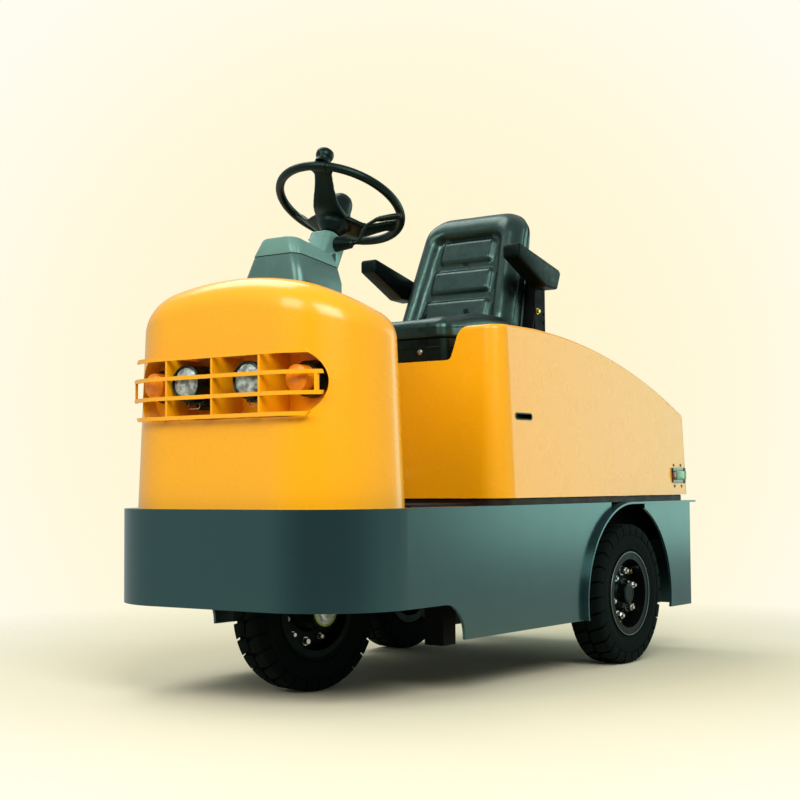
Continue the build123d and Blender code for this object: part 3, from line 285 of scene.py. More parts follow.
# The clear lens's deep colour mottle is painted reflection of the reflector's dark facets
GLASS = clear("lens_clear", tone(232, 246, 238), 0.06, 0.42, 60.0, mottle_and_facet_shade=0.35)
AMBER = clear("lens_amber", tone(255, 146, 24), 0.14, 0.12, 90.0)
TAIL_GREEN = clear("lens_tail", tone(150, 208, 150), 0.1, 0.35, 110.0)
TAIL_RED = clear("lens_red", tone(120, 48, 20), 0.15, 0.3, 110.0)

NODE_LOOKS = {
    YELLOW: ("front_cowl", "lamp_grille", "battery_hood"),
    GREEN: ("bumper_skirt", "rear_skirt", "fender_strip_left", "fender_strip_right", "floor_deck"),
    CONSOLE: ("dash_console",),
    CONSOLE_SHEEN: ("column_housing", "dash_lid"),
    FRAME: ("chassis_frame", "front_fork", "tow_coupler", "seat_bracket"),
    RIM_BLACK: ("front_rim", "rear_rim_left", "rear_rim_right"),
    PLASTIC: ("battery_block", "lamp_bracket", "headlamp_left", "headlamp_right", "control_lever",
              "accelerator_pedal", "seat_base", "horn_button"),
    GRIP: ("steering_rim", "spinner_knob"),
    VINYL: ("seat_cushion", "seat_backrest"),
    ARM: ("armrest_left", "armrest_right"),
    TYRE: ("front_tyre", "rear_tyre_left", "rear_tyre_right"),
    RUBBER: ("floor_mat",),
    STEEL: ("brake_pedal", "tow_pin"),
    CAST: ("rear_axle",),
    GLASS: ("headlamp_lens_left", "headlamp_lens_right"),
    AMBER: ("turn_lamp_left", "turn_lamp_right"),
    TAIL_GREEN: ("tail_lamp_left", "tail_lamp_right"),
}

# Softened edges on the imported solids, by width and rounding steps
NODE_BEVELS = {
    (0.001, 2): ("floor_deck", "seat_bracket", "tow_pin"),
    (0.0012, 2): ("fender_strip_left", "fender_strip_right", "lamp_grille"),
    (0.0016, 2): ("bumper_skirt", "rear_skirt"),
    (0.002, 2): ("brake_pedal", "accelerator_pedal", "tow_coupler", "front_fork"),
    (0.003, 2): ("chassis_frame",),
    (0.006, 3): ("column_housing", "seat_base", "battery_block"),
}


def dress_nodes():
    """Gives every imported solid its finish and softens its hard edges."""
    for look, names in NODE_LOOKS.items():
        for name in names:
            node = NODES[name]
            for i in range(max(len(node.material_slots), 1)):
                if i < len(node.material_slots):
                    node.material_slots[i].material = look
                else:
                    node.data.materials.append(look)
    for (width, steps), names in NODE_BEVELS.items():
        for name in names:
            bevel = NODES[name].modifiers.new("edges", "BEVEL")
            bevel.width = width
            bevel.segments = steps
            bevel.limit_method = "ANGLE"
            bevel.angle_limit = math.radians(30)
            bevel.harden_normals = True


def add_piece(name, bm, body, slot, *looks, sharp=35.0):
    """Makes a piece of a bmesh in the shared frame and lets it ride on a body."""
    mesh = bpy.data.meshes.new(name)
    bmesh.ops.remove_doubles(bm, verts=bm.verts, dist=1e-6)
    bmesh.ops.recalc_face_normals(bm, faces=bm.faces)
    bm.to_mesh(mesh)
    bm.free()
    for look in looks:
        mesh.materials.append(look)
    mesh.polygons.foreach_set("use_smooth", [True] * len(mesh.polygons))
    mesh.set_sharp_from_angle(angle=math.radians(sharp))
    piece = bpy.data.objects.new(name, mesh)
    bpy.context.scene.collection.objects.link(piece)
    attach(piece, body)
    return piece


def at(x, y, z):
    """Place at a point, not turned."""
    return Matrix.Translation((x, y, z))


def sideways(side):
    """Turn that lays a drawing's X along Y, its Y up and its Z out to a side."""
    return Matrix(((0, 0, side, 0), (1, 0, 0, 0), (0, 1, 0, 0), (0, 0, 0, 1)))


def join_rings(bm, rings):
    """Skin over a stack of rings, closed at both ends."""
    for low, high in zip(rings, rings[1:]):
        for i in range(len(low)):
            j = (i + 1) % len(low)
            bm.faces.new((low[i], low[j], high[j], high[i]))
    bm.faces.new(rings[0][::-1])
    bm.faces.new(rings[-1])


def lathe(bm, profile, place, steps, closed=False):
    """Turns (radius, height) points round the place's Z axis."""
    rings = []
    for radius, height in profile:
        count = steps if radius > 1e-6 else 1
        turns = [2 * math.pi * i / steps for i in range(count)]
        rings.append([bm.verts.new(place @ Vector((radius * math.cos(a), radius * math.sin(a), height)))
                      for a in turns])
    pairs = list(zip(rings, rings[1:]))
    if closed:
        pairs.append((rings[-1], rings[0]))
    for low, high in pairs:
        for i in range(steps):
            j = (i + 1) % steps
            corners = [low[i % len(low)], low[j % len(low)], high[j % len(high)], high[i % len(high)]]
            corners = list(dict.fromkeys(corners))
            if len(corners) > 2:
                bm.faces.new(corners)


def slab(bm, size, place, bevel, steps=2):
    """Box with rounded edges, its centre at the place."""
    made = bmesh.ops.create_cube(bm, size=1.0, matrix=place @ Matrix.Diagonal((*size, 1.0)))
    edges = list({e for v in made["verts"] for e in v.link_edges})
    bmesh.ops.bevel(bm, geom=edges, offset=bevel, segments=steps, profile=0.5, affect="EDGES")


def prism(bm, outline, depth, place, bevel, steps):
    """Outline of (x, y) points drawn along the place's Z, with rounded edges."""
    low = [bm.verts.new(place @ Vector((x, y, 0))) for x, y in outline]
    high = [bm.verts.new(place @ Vector((x, y, depth))) for x, y in outline]
    faces = [bm.faces.new(low[::-1]), bm.faces.new(high)]
    count = len(outline)
    for i in range(count):
        j = (i + 1) % count
        faces.append(bm.faces.new((low[i], low[j], high[j], high[i])))
    edges = list({e for f in faces for e in f.edges})
    bmesh.ops.bevel(bm, geom=edges, offset=bevel, segments=steps, profile=0.5, affect="EDGES")


def pipe(bm, points, radius, sides, swell=None):
    """Round tube along points; swell gives a radius factor for each point."""
    points = [Vector(p) for p in points]
    last = len(points) - 1
    across = None
    rings = []
    for i, point in enumerate(points):
        along = (points[min(i + 1, last)] - points[max(i - 1, 0)]).normalized()
        if across is None:
            across = along.orthogonal().normalized()
        across = (across - along * across.dot(along)).normalized()
        third = along.cross(across)
        r = radius * (swell[i] if swell else 1.0)
        rings.append([bm.verts.new(point + across * (r * math.cos(a)) + third * (r * math.sin(a)))
                      for a in (2 * math.pi * k / sides for k in range(sides))])
    join_rings(bm, rings)


def hex_bolt(bm, place, across, height, washer=True):
    """Hexagon head with a chamfered top on a washer, standing on the place's Z."""
    r = across / 2 / math.cos(math.pi / 6)
    base = 0.0
    if washer:
        base = 0.18 * height
        lathe(bm, [(0, 0), (r * 1.25, 0), (r * 1.25, base), (0, base)], place, 20)
    top = base + height
    lathe(bm, [(0, base), (r, base), (r, base + 0.75 * height), (0.8 * r, top), (0, top)], place, 6)


def screw(bm, place, radius):
    """Pan head with a sunk middle, standing on the place's Z."""
    profile = ((0, 0), (1, 0), (0.95, 0.3), (0.7, 0.55), (0.3, 0.62), (0.22, 0.35), (0, 0.35))
    lathe(bm, [(radius * r, radius * h) for r, h in profile], place, 16)


def facing(point, direction):
    """Place at a point whose Z looks along a direction."""
    turn = Vector(direction).to_track_quat("Z", "Y").to_matrix().to_4x4()
    return Matrix.Translation(point) @ turn


def around(centre, direction, radius, count, start):
    """Places on a circle round an axis, each looking along it."""
    base = facing(centre, direction)
    turns = [start + 2 * math.pi * i / count for i in range(count)]
    return [base @ at(radius * math.cos(a), radius * math.sin(a), 0) for a in turns]


def turned(name, profile, place, body, slot, look, steps, closed=False, sharp=35.0):
    """Piece turned from one profile."""
    bm = bmesh.new()
    lathe(bm, profile, place, steps, closed)
    return add_piece(name, bm, body, slot, look, sharp=sharp)


def block(name, size, place, body, slot, look, bevel, steps=2):
    """Piece made of one rounded box."""
    bm = bmesh.new()
    slab(bm, size, place, bevel, steps)
    return add_piece(name, bm, body, slot, look)


def bolts(name, places, across, height, body, look):
    """Piece made of hexagon bolts at places."""
    bm = bmesh.new()
    for place in places:
        hex_bolt(bm, place, across, height)
    add_piece(name, bm, body, "steel_plate", look)


def box_grid(bm, counts, shape, look=None):
    """Closed box of quads whose points, from -1 to 1, are moved by shape."""
    found = {}

    def vert(key):
        if key not in found:
            flat = [math.sin(math.pi / 2 * (2 * k / n - 1)) for k, n in zip(key, counts)]
            found[key] = bm.verts.new(shape(*flat))
        return found[key]

    for axis in range(3):
        a, b = (axis + 1) % 3, (axis + 2) % 3
        for end in (0, counts[axis]):
            for i in range(counts[a]):
                for j in range(counts[b]):
                    ring = []
                    for di, dj in ((0, 0), (1, 0), (1, 1), (0, 1)):
                        key = [0, 0, 0]
                        key[axis], key[a], key[b] = end, i + di, j + dj
                        ring.append(vert(tuple(key)))
                    face = bm.faces.new(ring if end else ring[::-1])
                    if look:
                        face.material_index = look(axis, end, (i + 0.5) / counts[a], (j + 0.5) / counts[b])


def pad_point(u, v, t, half_w, length, half_t, corner_low, corner_high, edge, rear_edge):
    """Pad of rounded outline: u across, v along, t through (-1 is the show side).

    Returns x, the way along, the depth and the distance from the outline."""
    along = (v + 1) / 2 * length
    x = u * half_w
    corner = corner_high if v > 0 else corner_low
    from_end = length - along if v > 0 else along
    a = (abs(x) - (half_w - corner)) / corner
    b = (corner - from_end) / corner
    if a > 0 and b > 0:
        pull = max(a, b) / math.hypot(a, b)
        a, b = a * pull, b * pull
        x = math.copysign(half_w - corner + a * corner, u)
        from_end = corner - b * corner
        along = length - from_end if v > 0 else from_end
        inset = corner * (1 - math.hypot(a, b))
    else:
        inset = min(half_w - abs(x), from_end)
    inset = max(inset, 0.0)
    if abs(t) > 0.9999:
        round_r = edge if t < 0 else rear_edge
        rise = math.sqrt(max(round_r ** 2 - (round_r - min(inset, round_r)) ** 2, 0.0))
        depth = math.copysign(half_t - round_r + rise, t)
    else:
        depth = edge - half_t + (t + 1) / 2 * (2 * half_t - edge - rear_edge)
    return x, along, depth, inset


def rounded_distance(x, y, half_x, half_y, radius):
    """Signed distance from a rounded rectangle."""
    qx = abs(x) - (half_x - radius)
    qy = abs(y) - (half_y - radius)
    return math.hypot(max(qx, 0), max(qy, 0)) + min(max(qx, qy), 0) - radius


# Backrest panels: middle height, half width
BACK_PANELS = ((0.082, 0.116), (0.186, 0.108), (0.29, 0.096))


def lean_back(along):
    """How far the backrest's top border leans back at a height."""
    return 0.03 * smooth(0.335, 0.46, along)


def backrest_point(u, t, v):
    """Skin of the backrest in its own reclined frame."""
    share = (v + 1) / 2
    half_w = BACK_HALF_W - BACK_TAPER * share
    half_t = BACK_HALF_T - BACK_THINNING * share
    x, along, depth, inset = pad_point(u, v, t, half_w, BACK_L, half_t, *BACK_ROUNDING)
    if t < -0.9999:
        recess_w = 0.155 - 0.0957 * along
        d = rounded_distance(x, along - 0.178, recess_w, 0.172, 0.036)
        depth += 0.022 * smooth(0.005, -0.016, d)
        if d > 0:
            depth -= 0.009 * math.sin(math.pi * d / (d + inset + 1e-6))
        for mid, panel_w in BACK_PANELS:
            p = rounded_distance(x, along - mid, panel_w, 0.04, 0.014)
            depth -= 0.013 * smooth(0.003, -0.01, p)
            depth += 0.0025 * math.exp(-((p - 0.006) / 0.004) ** 2)
    elif t < 0.9999:
        pinch = 0.005 * smooth(0.3, 0.42, t) * smooth(0.86, 0.74, t)
        x -= math.copysign(pinch, x) if abs(u) > 0.9999 else 0.0
        along -= pinch if v > 0.9999 else 0.0
    depth += lean_back(along) * (1 - t) / 2
    depth += 0.001 * noise.noise(Vector((x * 14, along * 14, t)))
    return BACK @ Vector((x, depth, along))


def backrest_look(axis, end, i, j):
    """Black shell gap in the pad's flank: 1 there, 0 on the vinyl."""
    if axis == 1 or (axis == 2 and not end):
        return 0
    across = i if axis == 0 else j
    return 1 if 0.6 < across < 0.8 else 0


def cushion_point(u, v, t):
    """Skin of the seat cushion: v from front to rear, t from below (1) to the top (-1)."""
    sizes = (CUSHION_HALF_W, CUSHION_L, CUSHION_HALF_T)
    x, along, depth, inset = pad_point(u, v, t, *sizes, *CUSHION_ROUNDING)
    if t < -0.9999:
        bolster = smooth(0.125, 0.185, abs(x)) * smooth(0.0, 0.05, inset)
        roll = math.exp(-((along - 0.055) / 0.042) ** 2)
        depth -= 0.004 * bolster + 0.006 * bolster * smooth(0.12, 0.24, along)
        depth += 0.013 * (1 - smooth(0.1, 0.175, abs(x))) * smooth(0.075, 0.125, along)
        depth += 0.003 * roll * (1 - bolster)
        seam = abs(abs(x) - CUSHION_SEAM_X)
        depth += 0.004 * math.exp(-(seam / 0.0035) ** 2) * smooth(0.05, 0.1, along)
        depth += 0.004 * math.exp(-((along - 0.092) / 0.0035) ** 2) * (1 - smooth(0.15, 0.17, abs(x)))
        crease = math.exp(-((abs(x) - 0.165) ** 2 + (along - 0.075) ** 2) / 0.035 ** 2)
        depth += 0.0035 * crease * math.sin(abs(x) * 420)
    depth += 0.011 * (1 - t) * (1 - smooth(0.0, 0.24, along))
    depth += 0.0012 * noise.noise(Vector((x * 13, along * 13, t)))
    return Vector((x, CUSHION_FRONT_Y + along, CUSHION_MID_Z - depth))


def soft_seat():
    """Cushion and backrest as upholstered forms with seams, panels and welts."""
    bm = bmesh.new()
    box_grid(bm, (84, 24, 96), backrest_point, backrest_look)
    back = add_piece("backrest_pad", bm, "hood", "vinyl_black", VINYL, PLASTIC, sharp=60)
    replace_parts(back, "seat_backrest")
    bm = bmesh.new()
    box_grid(bm, (72, 60, 16), cushion_point)
    cushion = add_piece("cushion_pad", bm, "hood", "vinyl_black", VINYL, sharp=60)
    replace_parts(cushion, "seat_cushion")
    bm = bmesh.new()
    path = []
    for u, v in welt_path():
        share = (v + 1) / 2
        half_w = BACK_HALF_W - BACK_TAPER * share
        x, along, _, _ = pad_point(u, v, 0.0, half_w, BACK_L, BACK_HALF_T, *BACK_ROUNDING)
        path.append(BACK @ Vector((x, -0.012 + 0.019 * share + 0.94 * lean_back(along), along)))
    pipe(bm, path, 0.0022, 8)
    add_piece("backrest_welt", bm, "hood", "vinyl_black", VINYL)


def welt_path():
    """Walk up one side of the pad's outline, across the top and down the other."""
    side = [-0.96 + 1.96 * i / 40 for i in range(41)]
    top = [1 - 2 * i / 40 for i in range(41)]
    return [(1.0, v) for v in side] + [(u, 1.0) for u in top[1:-1]] + [(-1.0, v) for v in reversed(side)]


# Armrest outline from the pivot: back, up
ARM_OUTLINE = ((0.011, -0.03), (0.033, 0.021), (0.022, 0.032), (-0.206, 0.088), (-0.214, 0.08),
               (-0.214, 0.047), (-0.06, -0.026))


def armrests():
    """Wedge-shaped arm pads with bevelled noses."""
    for side, name in SIDES:
        bm = bmesh.new()
        start = ARM_INNER_X if side > 0 else -ARM_INNER_X - ARM_W
        prism(bm, ARM_OUTLINE, ARM_W, at(start, ARM_PIVOT_Y, ARM_PIVOT_Z) @ sideways(1), 0.007, 3)
        pad = add_piece(f"arm_pad_{name}", bm, f"armrest_{name}", "vinyl_black", ARM, sharp=50)
        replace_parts(pad, f"armrest_{name}")


TYRE_PROFILE = ((0.1162, 0.042), (0.1235, 0.0432), (0.1275, 0.0462), (0.1325, 0.0486), (0.1335, 0.0498),
                (0.1375, 0.05), (0.139, 0.0494), (0.148, 0.0512), (0.158, 0.0519), (0.168, 0.0517),
                (0.1735, 0.0512), (0.175, 0.0492), (0.186, 0.049), (0.1935, 0.047), (0.1965, 0.043),
                (0.1975, 0.02))
LUG_SECTION = ((0.0035, 0.193), (0.0035, 0.2068), (0.008, 0.2075), (0.04, 0.2072), (0.047, 0.2048),
               (0.0508, 0.199), (0.0524, 0.188), (0.052, 0.1757), (0.044, 0.1757))


def tyre(name, node, body, place):
    """Industrial tyre: ribbed sidewalls and interlocking chevron blocks round the place's X axis."""
    turn = place @ Matrix.Rotation(math.pi / 2, 4, "Y")
    bm = bmesh.new()
    outer = list(TYRE_PROFILE)
    inner = [(r, -h) for r, h in reversed(outer)]
    lathe(bm, outer + inner, turn, 112, closed=True)
    lugs = bmesh.new()
    pitch = 2 * math.pi / LUGS
    for side in (-1, 1):
        for i in range(LUGS):
            middle = pitch * (i + (0.5 if side > 0 else 0.0))
            lug_block(lugs, side, middle)
    sharp = [e for e in lugs.edges if e.is_manifold and e.calc_face_angle() > math.radians(40)]
    bmesh.ops.bevel(lugs, geom=sharp, offset=0.0011, segments=1, affect="EDGES")
    bmesh.ops.transform(lugs, matrix=turn, verts=lugs.verts)
    scratch = bpy.data.meshes.new("lugs")
    lugs.to_mesh(scratch)
    lugs.free()
    bm.from_mesh(scratch)
    bpy.data.meshes.remove(scratch)
    piece = add_piece(name, bm, body, "tyre", TYRE, sharp=32)
    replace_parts(piece, node)


def lug_block(bm, side, middle):
    """One tread block, its inner end swept on round the tyre."""
    rows = []
    for k in range(LUG_STEPS + 1):
        row = []
        for h, r in LUG_SECTION:
            reach = 1 - h / TYRE_HALF_W
            narrow = 1 - 0.22 * smooth(0.55, 1.0, reach)
            angle = middle + LUG_HALF * narrow * (2 * k / LUG_STEPS - 1) + side * LUG_SKEW * reach ** 1.5
            row.append(bm.verts.new((r * math.cos(angle), r * math.sin(angle), side * h)))
        rows.append(row)
    join_rings(bm, rows)


def wheels():
    tyre("front_tyre_tread", "front_tyre", "front_wheel", FRONT_WHEEL)
    for side, name in SIDES:
        place = at(side * REAR_X, REAR_AXLE_Y, TYRE_R)
        tyre(f"rear_tyre_tread_{name}", f"rear_tyre_{name}", f"rear_wheel_{name}", place)
        wheel_trim(side, name)
    front_wheel_trim()


# Turned trim of the wheels: radius, way out
FLANGE_EDGE = ((0.1222, 0.0486), (0.124, 0.0486), (0.1248, 0.0498), (0.1242, 0.051), (0.1226, 0.0512),
               (0.1214, 0.05))
FRONT_FLANGE = ((0.1215, 0.0478), (0.1245, 0.048), (0.1256, 0.0497), (0.1245, 0.0514), (0.1218, 0.0512),
                (0.1195, 0.05), (0.119, 0.0484))
HUB_CAP = ((0.0, 0.0419), (0.0308, 0.0419), (0.0308, 0.044), (0.029, 0.0462), (0.024, 0.0472),
           (0.0232, 0.0464), (0.0, 0.0466))


def wheel_trim(side, name):
    """Nuts, rim bolts, flange edge, cap and valve of a rear wheel."""
    body = f"rear_wheel_{name}"
    out = Vector((side, 0, 0))
    hub = Vector((side * REAR_X, REAR_AXLE_Y, TYRE_R))
    bm = bmesh.new()
    for place in around(hub + out * 0.0118, out, 0.068, 6, 0.3):
        hex_bolt(bm, place, 0.021, 0.015)
        lathe(bm, [(0, 0.012), (0.0058, 0.012), (0.0058, 0.023), (0.0045, 0.0245), (0, 0.0245)], place, 14)
    add_piece(f"wheel_nuts_{name}", bm, body, "steel_plate", ZINC)
    bolts(f"rim_nuts_{name}", around(hub + out * 0.0118, out, 0.089, 5, 0.75), 0.014, 0.01, body, BRASS)
    face = facing(hub, out)
    turned(f"flange_edge_{name}", FLANGE_EDGE, face, body, "steel_plate", EDGE, 96, closed=True)
    bm = bmesh.new()
    lathe(bm, HUB_CAP, face, 40)
    for place in around(hub + out * 0.0281, out, 0.0375, 6, 0.1):
        hex_bolt(bm, place, 0.009, 0.006, washer=False)
    add_piece(f"hub_cap_{name}", bm, body, "frame_black", RIM_BLACK)
    bm = bmesh.new()
    stem = hub + out * 0.01 + Vector((0, 0.062, 0.075))
    pipe(bm, [stem, stem + out * 0.014, stem + out * 0.026 + Vector((0, 0.002, 0.003))], 0.0035, 10)
    cap = [(0, 0.024), (0.005, 0.024), (0.005, 0.034), (0.004, 0.0355), (0, 0.0355)]
    lathe(bm, cap, facing(stem, out), 14)
    add_piece(f"valve_{name}", bm, body, "rubber_black", RUBBER)


def front_wheel_trim():
    """Nuts and flange edges on the front rim's two discs, and the fork's axle ends."""
    axis = (FRONT_WHEEL.to_3x3() @ Vector((1, 0, 0))).normalized()
    hub = FRONT_WHEEL.translation
    nuts = bmesh.new()
    edge = bmesh.new()
    for side in (-1, 1):
        out = axis * side
        for i, place in enumerate(around(hub + out * 0.0079, out, 0.08, 10, 0.2)):
            hex_bolt(nuts, place, 0.016 if i % 2 else 0.012, 0.011)
        lathe(edge, FRONT_FLANGE, facing(hub, out), 96, closed=True)
    add_piece("front_rim_nuts", nuts, "front_wheel", "steel_plate", ZINC)
    add_piece("front_flange_edge", edge, "front_wheel", "frame_black", RIM_BLACK)
    ends = bmesh.new()
    rings = bmesh.new()
    for side in (-1, 1):
        face = facing(hub + axis * side * 0.0766, axis * side)
        hex_bolt(ends, face, 0.046, 0.012)
        lathe(ends, [(0, 0.012), (0.0162, 0.012), (0.0162, 0.0155), (0.014, 0.0175), (0, 0.0175)], face, 28)
        lathe(rings, [(0.0335, 0.0), (0.037, 0.0), (0.037, 0.0034), (0.0352, 0.0044), (0.0335, 0.0034)],
              face, 40, closed=True)
    add_piece("axle_end_nuts", ends, "front_fork", "steel_plate", STEEL)
    add_piece("axle_end_rings", rings, "front_fork", "frame_black", RING_GREEN)


def obround(length, height, steps=14):
    """Points round a slot outline."""
    r = height / 2
    run = length / 2 - r
    points = []
    for side, start in ((1, -math.pi / 2), (-1, math.pi / 2)):
        for i in range(steps + 1):
            a = start + math.pi * i / steps
            points.append((side * run + r * math.cos(a), r * math.sin(a)))
    return points


# Turned parts of a headlamp: radius, way out
LENS_PROFILE = ((0.0396, -0.004), (0.0396, 0.0006), (0.0345, 0.0038), (0.024, 0.0068), (0.012, 0.0085),
                (0, 0.009), (0, 0.0072), (0.012, 0.0067), (0.024, 0.005), (0.034, 0.002),
                (0.038, -0.001), (0.038, -0.004))
BULB_PROFILE = ((0, -0.0185), (0.0052, -0.0185), (0.0052, -0.0135), (0.0078, -0.0115), (0.0084, -0.008),
                (0.0064, -0.004), (0.0026, -0.0024), (0, -0.0022))
BEZEL_PROFILE = ((0.0399, -0.002), (0.0462, -0.006), (0.047, -0.001), (0.046, 0.0035), (0.0428, 0.005),
                 (0.0402, 0.0028))
SOCKET_PROFILE = ((0.0334, 0.0), (0.047, 0.0), (0.0472, 0.004), (0.0455, 0.007), (0.044, 0.028),
                  (0.0415, 0.034), (0.0375, 0.037), (0.0334, 0.034))


def lamps():
    """Headlamp lenses, reflectors, bulbs and bezels, then what holds the lamps."""
    for side, name in SIDES:
        centre = Vector((side * HEADLAMP_X, HEADLAMP_FACE_Y, LAMP_CENTRE_Z))
        face = facing(centre, TO_FRONT)
        lens = turned(f"headlamp_glass_{name}", LENS_PROFILE, face, "chassis", "lens_clear", GLASS, 64)
        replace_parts(lens, f"headlamp_lens_{name}")
        bowl = [(0.0392 * math.sqrt(i / 14), -0.0188 + 0.015 * i / 14) for i in range(15)]
        bowl += [(0.0398, -0.0035), (0.0398, -0.0196), (0, -0.0196)]
        turned(f"headlamp_bowl_{name}", bowl, face, "chassis", "steel_plate", CHROME, 64, sharp=50)
        turned(f"headlamp_bulb_{name}", BULB_PROFILE, face, "chassis", "steel_plate", CHROME, 24)
        bm = bmesh.new()
        lathe(bm, BEZEL_PROFILE, face, 64, closed=True)
        for level in (-0.082, -0.06):
            rib = [(0.045, 0.0), (0.0472, 0.001), (0.0472, 0.007), (0.045, 0.008)]
            lathe(bm, rib, face @ at(0, 0, level), 64, closed=True)
        for place in around(centre, TO_FRONT, 0.044, 3, 0.5):
            screw(bm, place @ at(0, 0, 0.0044), 0.0026)
        add_piece(f"headlamp_bezel_{name}", bm, "chassis", "black_plastic", PLASTIC)
        turn_lamp_socket(side, name)
        lamp_loop(side, name)


def turn_lamp_socket(side, name):
    """Deep rubber cup round the foot of an amber lamp."""
    foot = Vector((side * TURN_LAMP_X, POCKET_Y - 0.006, LAMP_CENTRE_Z))
    bm = bmesh.new()
    lathe(bm, SOCKET_PROFILE, facing(foot, TO_FRONT), 56, closed=True)
    for place in around(foot + Vector((0, -0.007, 0)), TO_FRONT, 0.0462, 2, 0.7):
        screw(bm, place, 0.0024)
    add_piece(f"turn_lamp_socket_{name}", bm, "chassis", "black_plastic", PLASTIC)


def lamp_loop(side, name):
    """Clamp block and wire stirrup under a headlamp."""
    x = side * HEADLAMP_X + 0.008
    y = POCKET_Y - 0.048
    z = LAMP_CENTRE_Z - 0.0452
    bm = bmesh.new()
    slab(bm, (0.062, 0.066, 0.01), at(x, y + 0.008, z - 0.003), 0.002)
    slab(bm, (0.052, 0.03, 0.014), at(x, y + 0.024, z - 0.012), 0.003)
    add_piece(f"headlamp_clamp_{name}", bm, "chassis", "black_plastic", PLASTIC)
    bm = bmesh.new()
    front = y - 0.0265
    bend = [(x - 0.019, front, z - 0.004), (x - 0.019, front, z - 0.014), (x - 0.015, front, z - 0.018),
            (x + 0.015, front, z - 0.018), (x + 0.019, front, z - 0.014), (x + 0.019, front, z - 0.004)]
    pipe(bm, bend, 0.0014, 8)
    add_piece(f"headlamp_stirrup_{name}", bm, "chassis", "steel_plate", ZINC)


# Dash outline: half width and front at the foot, rear, corner radii
DASH_FOOT_W = 0.102
DASH_FOOT_FRONT = -0.742
DASH_FOOT_Z = 1.07
DASH_REAR = -0.567
DASH_CORNER = 0.028
DASH_REAR_CORNER = 0.006
LID_SLOPE = 0.262


def dash_ring(bm, level, rise_by, grow):
    """Ring round the dash: height from a level at a way back, raised, and offset outwards."""
    ring = []
    corners = ((-1, 1, DASH_REAR_CORNER), (-1, -1, DASH_CORNER),
               (1, -1, DASH_CORNER), (1, 1, DASH_REAR_CORNER))
    for number, (side, end, radius) in enumerate(corners):
        for i in range(9):
            turn = math.pi / 2 * (i / 8 + number) + math.pi / 2
            rise = 0.0
            for _ in range(3):
                half = DASH_FOOT_W - 0.329 * rise + grow
                front = DASH_FOOT_FRONT + 0.2 * rise - grow
                y = DASH_REAR + grow - radius if end > 0 else front + radius
                centre = Vector((side * (half - radius), y, 0))
                point = centre + Vector((math.cos(turn), math.sin(turn), 0)) * radius
                height = level(point.y) + rise_by
                rise = max(height - DASH_FOOT_Z, 0.0)
            ring.append(bm.verts.new((point.x, point.y, height)))
    return ring


def flat_level(y):
    return 0.0


def seam_level(y):
    return 1.139 - 0.153 * (y + 0.735)


def lid_level(y):
    return 1.1865 - LID_SLOPE * (y + 0.715)


def foot_level(y):
    return min(1.061, 1.066 - 0.17 * (y + 0.7))


# Rings of the dash's parts from below: level, rise above it, offset outwards
DASH_BODY = ((flat_level, 0.958, 0.0), (flat_level, DASH_FOOT_Z, 0.0), (seam_level, -0.0045, 0.0),
             (seam_level, -0.0015, -0.0008), (seam_level, -0.0003, -0.003))
DASH_COVER = ((seam_level, 0.0003, -0.003), (seam_level, 0.0008, 0.0002), (seam_level, 0.003, 0.001),
              (lid_level, -0.006, -0.003), (lid_level, -0.0022, -0.0042), (lid_level, -0.0006, -0.0062),
              (lid_level, 0.0, -0.0095))
DASH_GASKET = ((flat_level, 0.957, 0.003), (foot_level, -0.003, 0.003), (foot_level, -0.0008, 0.0024),
               (foot_level, 0.0, 0.0012))


def dash_part(name, rows, slot, look):
    """Piece of the dash skinned over rows of rings."""
    bm = bmesh.new()
    join_rings(bm, [dash_ring(bm, *row) for row in rows])
    return add_piece(name, bm, "chassis", slot, look)


def dash_shell():
    """Console and lid with rounded corners and a sloping seam, on a rubber foot."""
    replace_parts(dash_part("dash_body", DASH_BODY, "console_grey", CONSOLE), "dash_console")
    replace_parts(dash_part("dash_cover", DASH_COVER, "console_grey", CONSOLE_SHEEN), "dash_lid")
    dash_part("dash_gasket", DASH_GASKET, "rubber_black", RUBBER)


# Column housing: half width, half depth, cut corner, top and foot along the column
COLUMN_W = 0.036
COLUMN_D = 0.046
COLUMN_CUT = 0.012
COLUMN_TOP = -0.12
COLUMN_FOOT = -0.518
COLLAR_PROFILE = ((0.0175, -0.004), (0.0305, -0.004), (0.0305, 0.01), (0.0285, 0.0135), (0.0235, 0.014),
                  (0.0225, 0.01), (0.0175, 0.0095))
INSERT_OUTLINE = ((-0.03, 0.0), (-0.004, 0.0), (0.012, 0.15), (0.004, 0.168), (-0.006, 0.16))


def column_shell():
    """Column housing with cut corners and softened edges."""
    corners = ((-1, -1), (1, -1), (1, 1), (-1, 1))
    outline = []
    for number, (a, b) in enumerate(corners):
        ends = [(a * (COLUMN_W - COLUMN_CUT), b * COLUMN_D), (a * COLUMN_W, b * (COLUMN_D - COLUMN_CUT))]
        outline += ends if number % 2 else ends[::-1]
    bm = bmesh.new()
    prism(bm, outline, COLUMN_TOP - COLUMN_FOOT, COLUMN @ at(0, 0, COLUMN_FOOT), 0.004, 3)
    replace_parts(add_piece("column_shell", bm, "chassis", "console_grey", CONSOLE_SHEEN), "column_housing")


def dash_trim():
    """Console, column with its collar and inserts, lever, key switch and charge meter."""
    dash_shell()
    column_shell()
    collar = COLUMN @ at(0, 0, COLUMN_TOP)
    turned("column_collar", COLLAR_PROFILE, collar, "chassis", "console_grey", CONSOLE_SHEEN, 40, closed=True)
    bm = bmesh.new()
    for side in (-1, 1):
        place = COLUMN @ at(side * COLUMN_W - 0.0011, 0.004, -0.33) @ sideways(1)
        prism(bm, INSERT_OUTLINE, 0.0022, place, 0.0006, 1)
    add_piece("column_inserts", bm, "chassis", "black_plastic", PLASTIC)
    lever()
    dash_face()


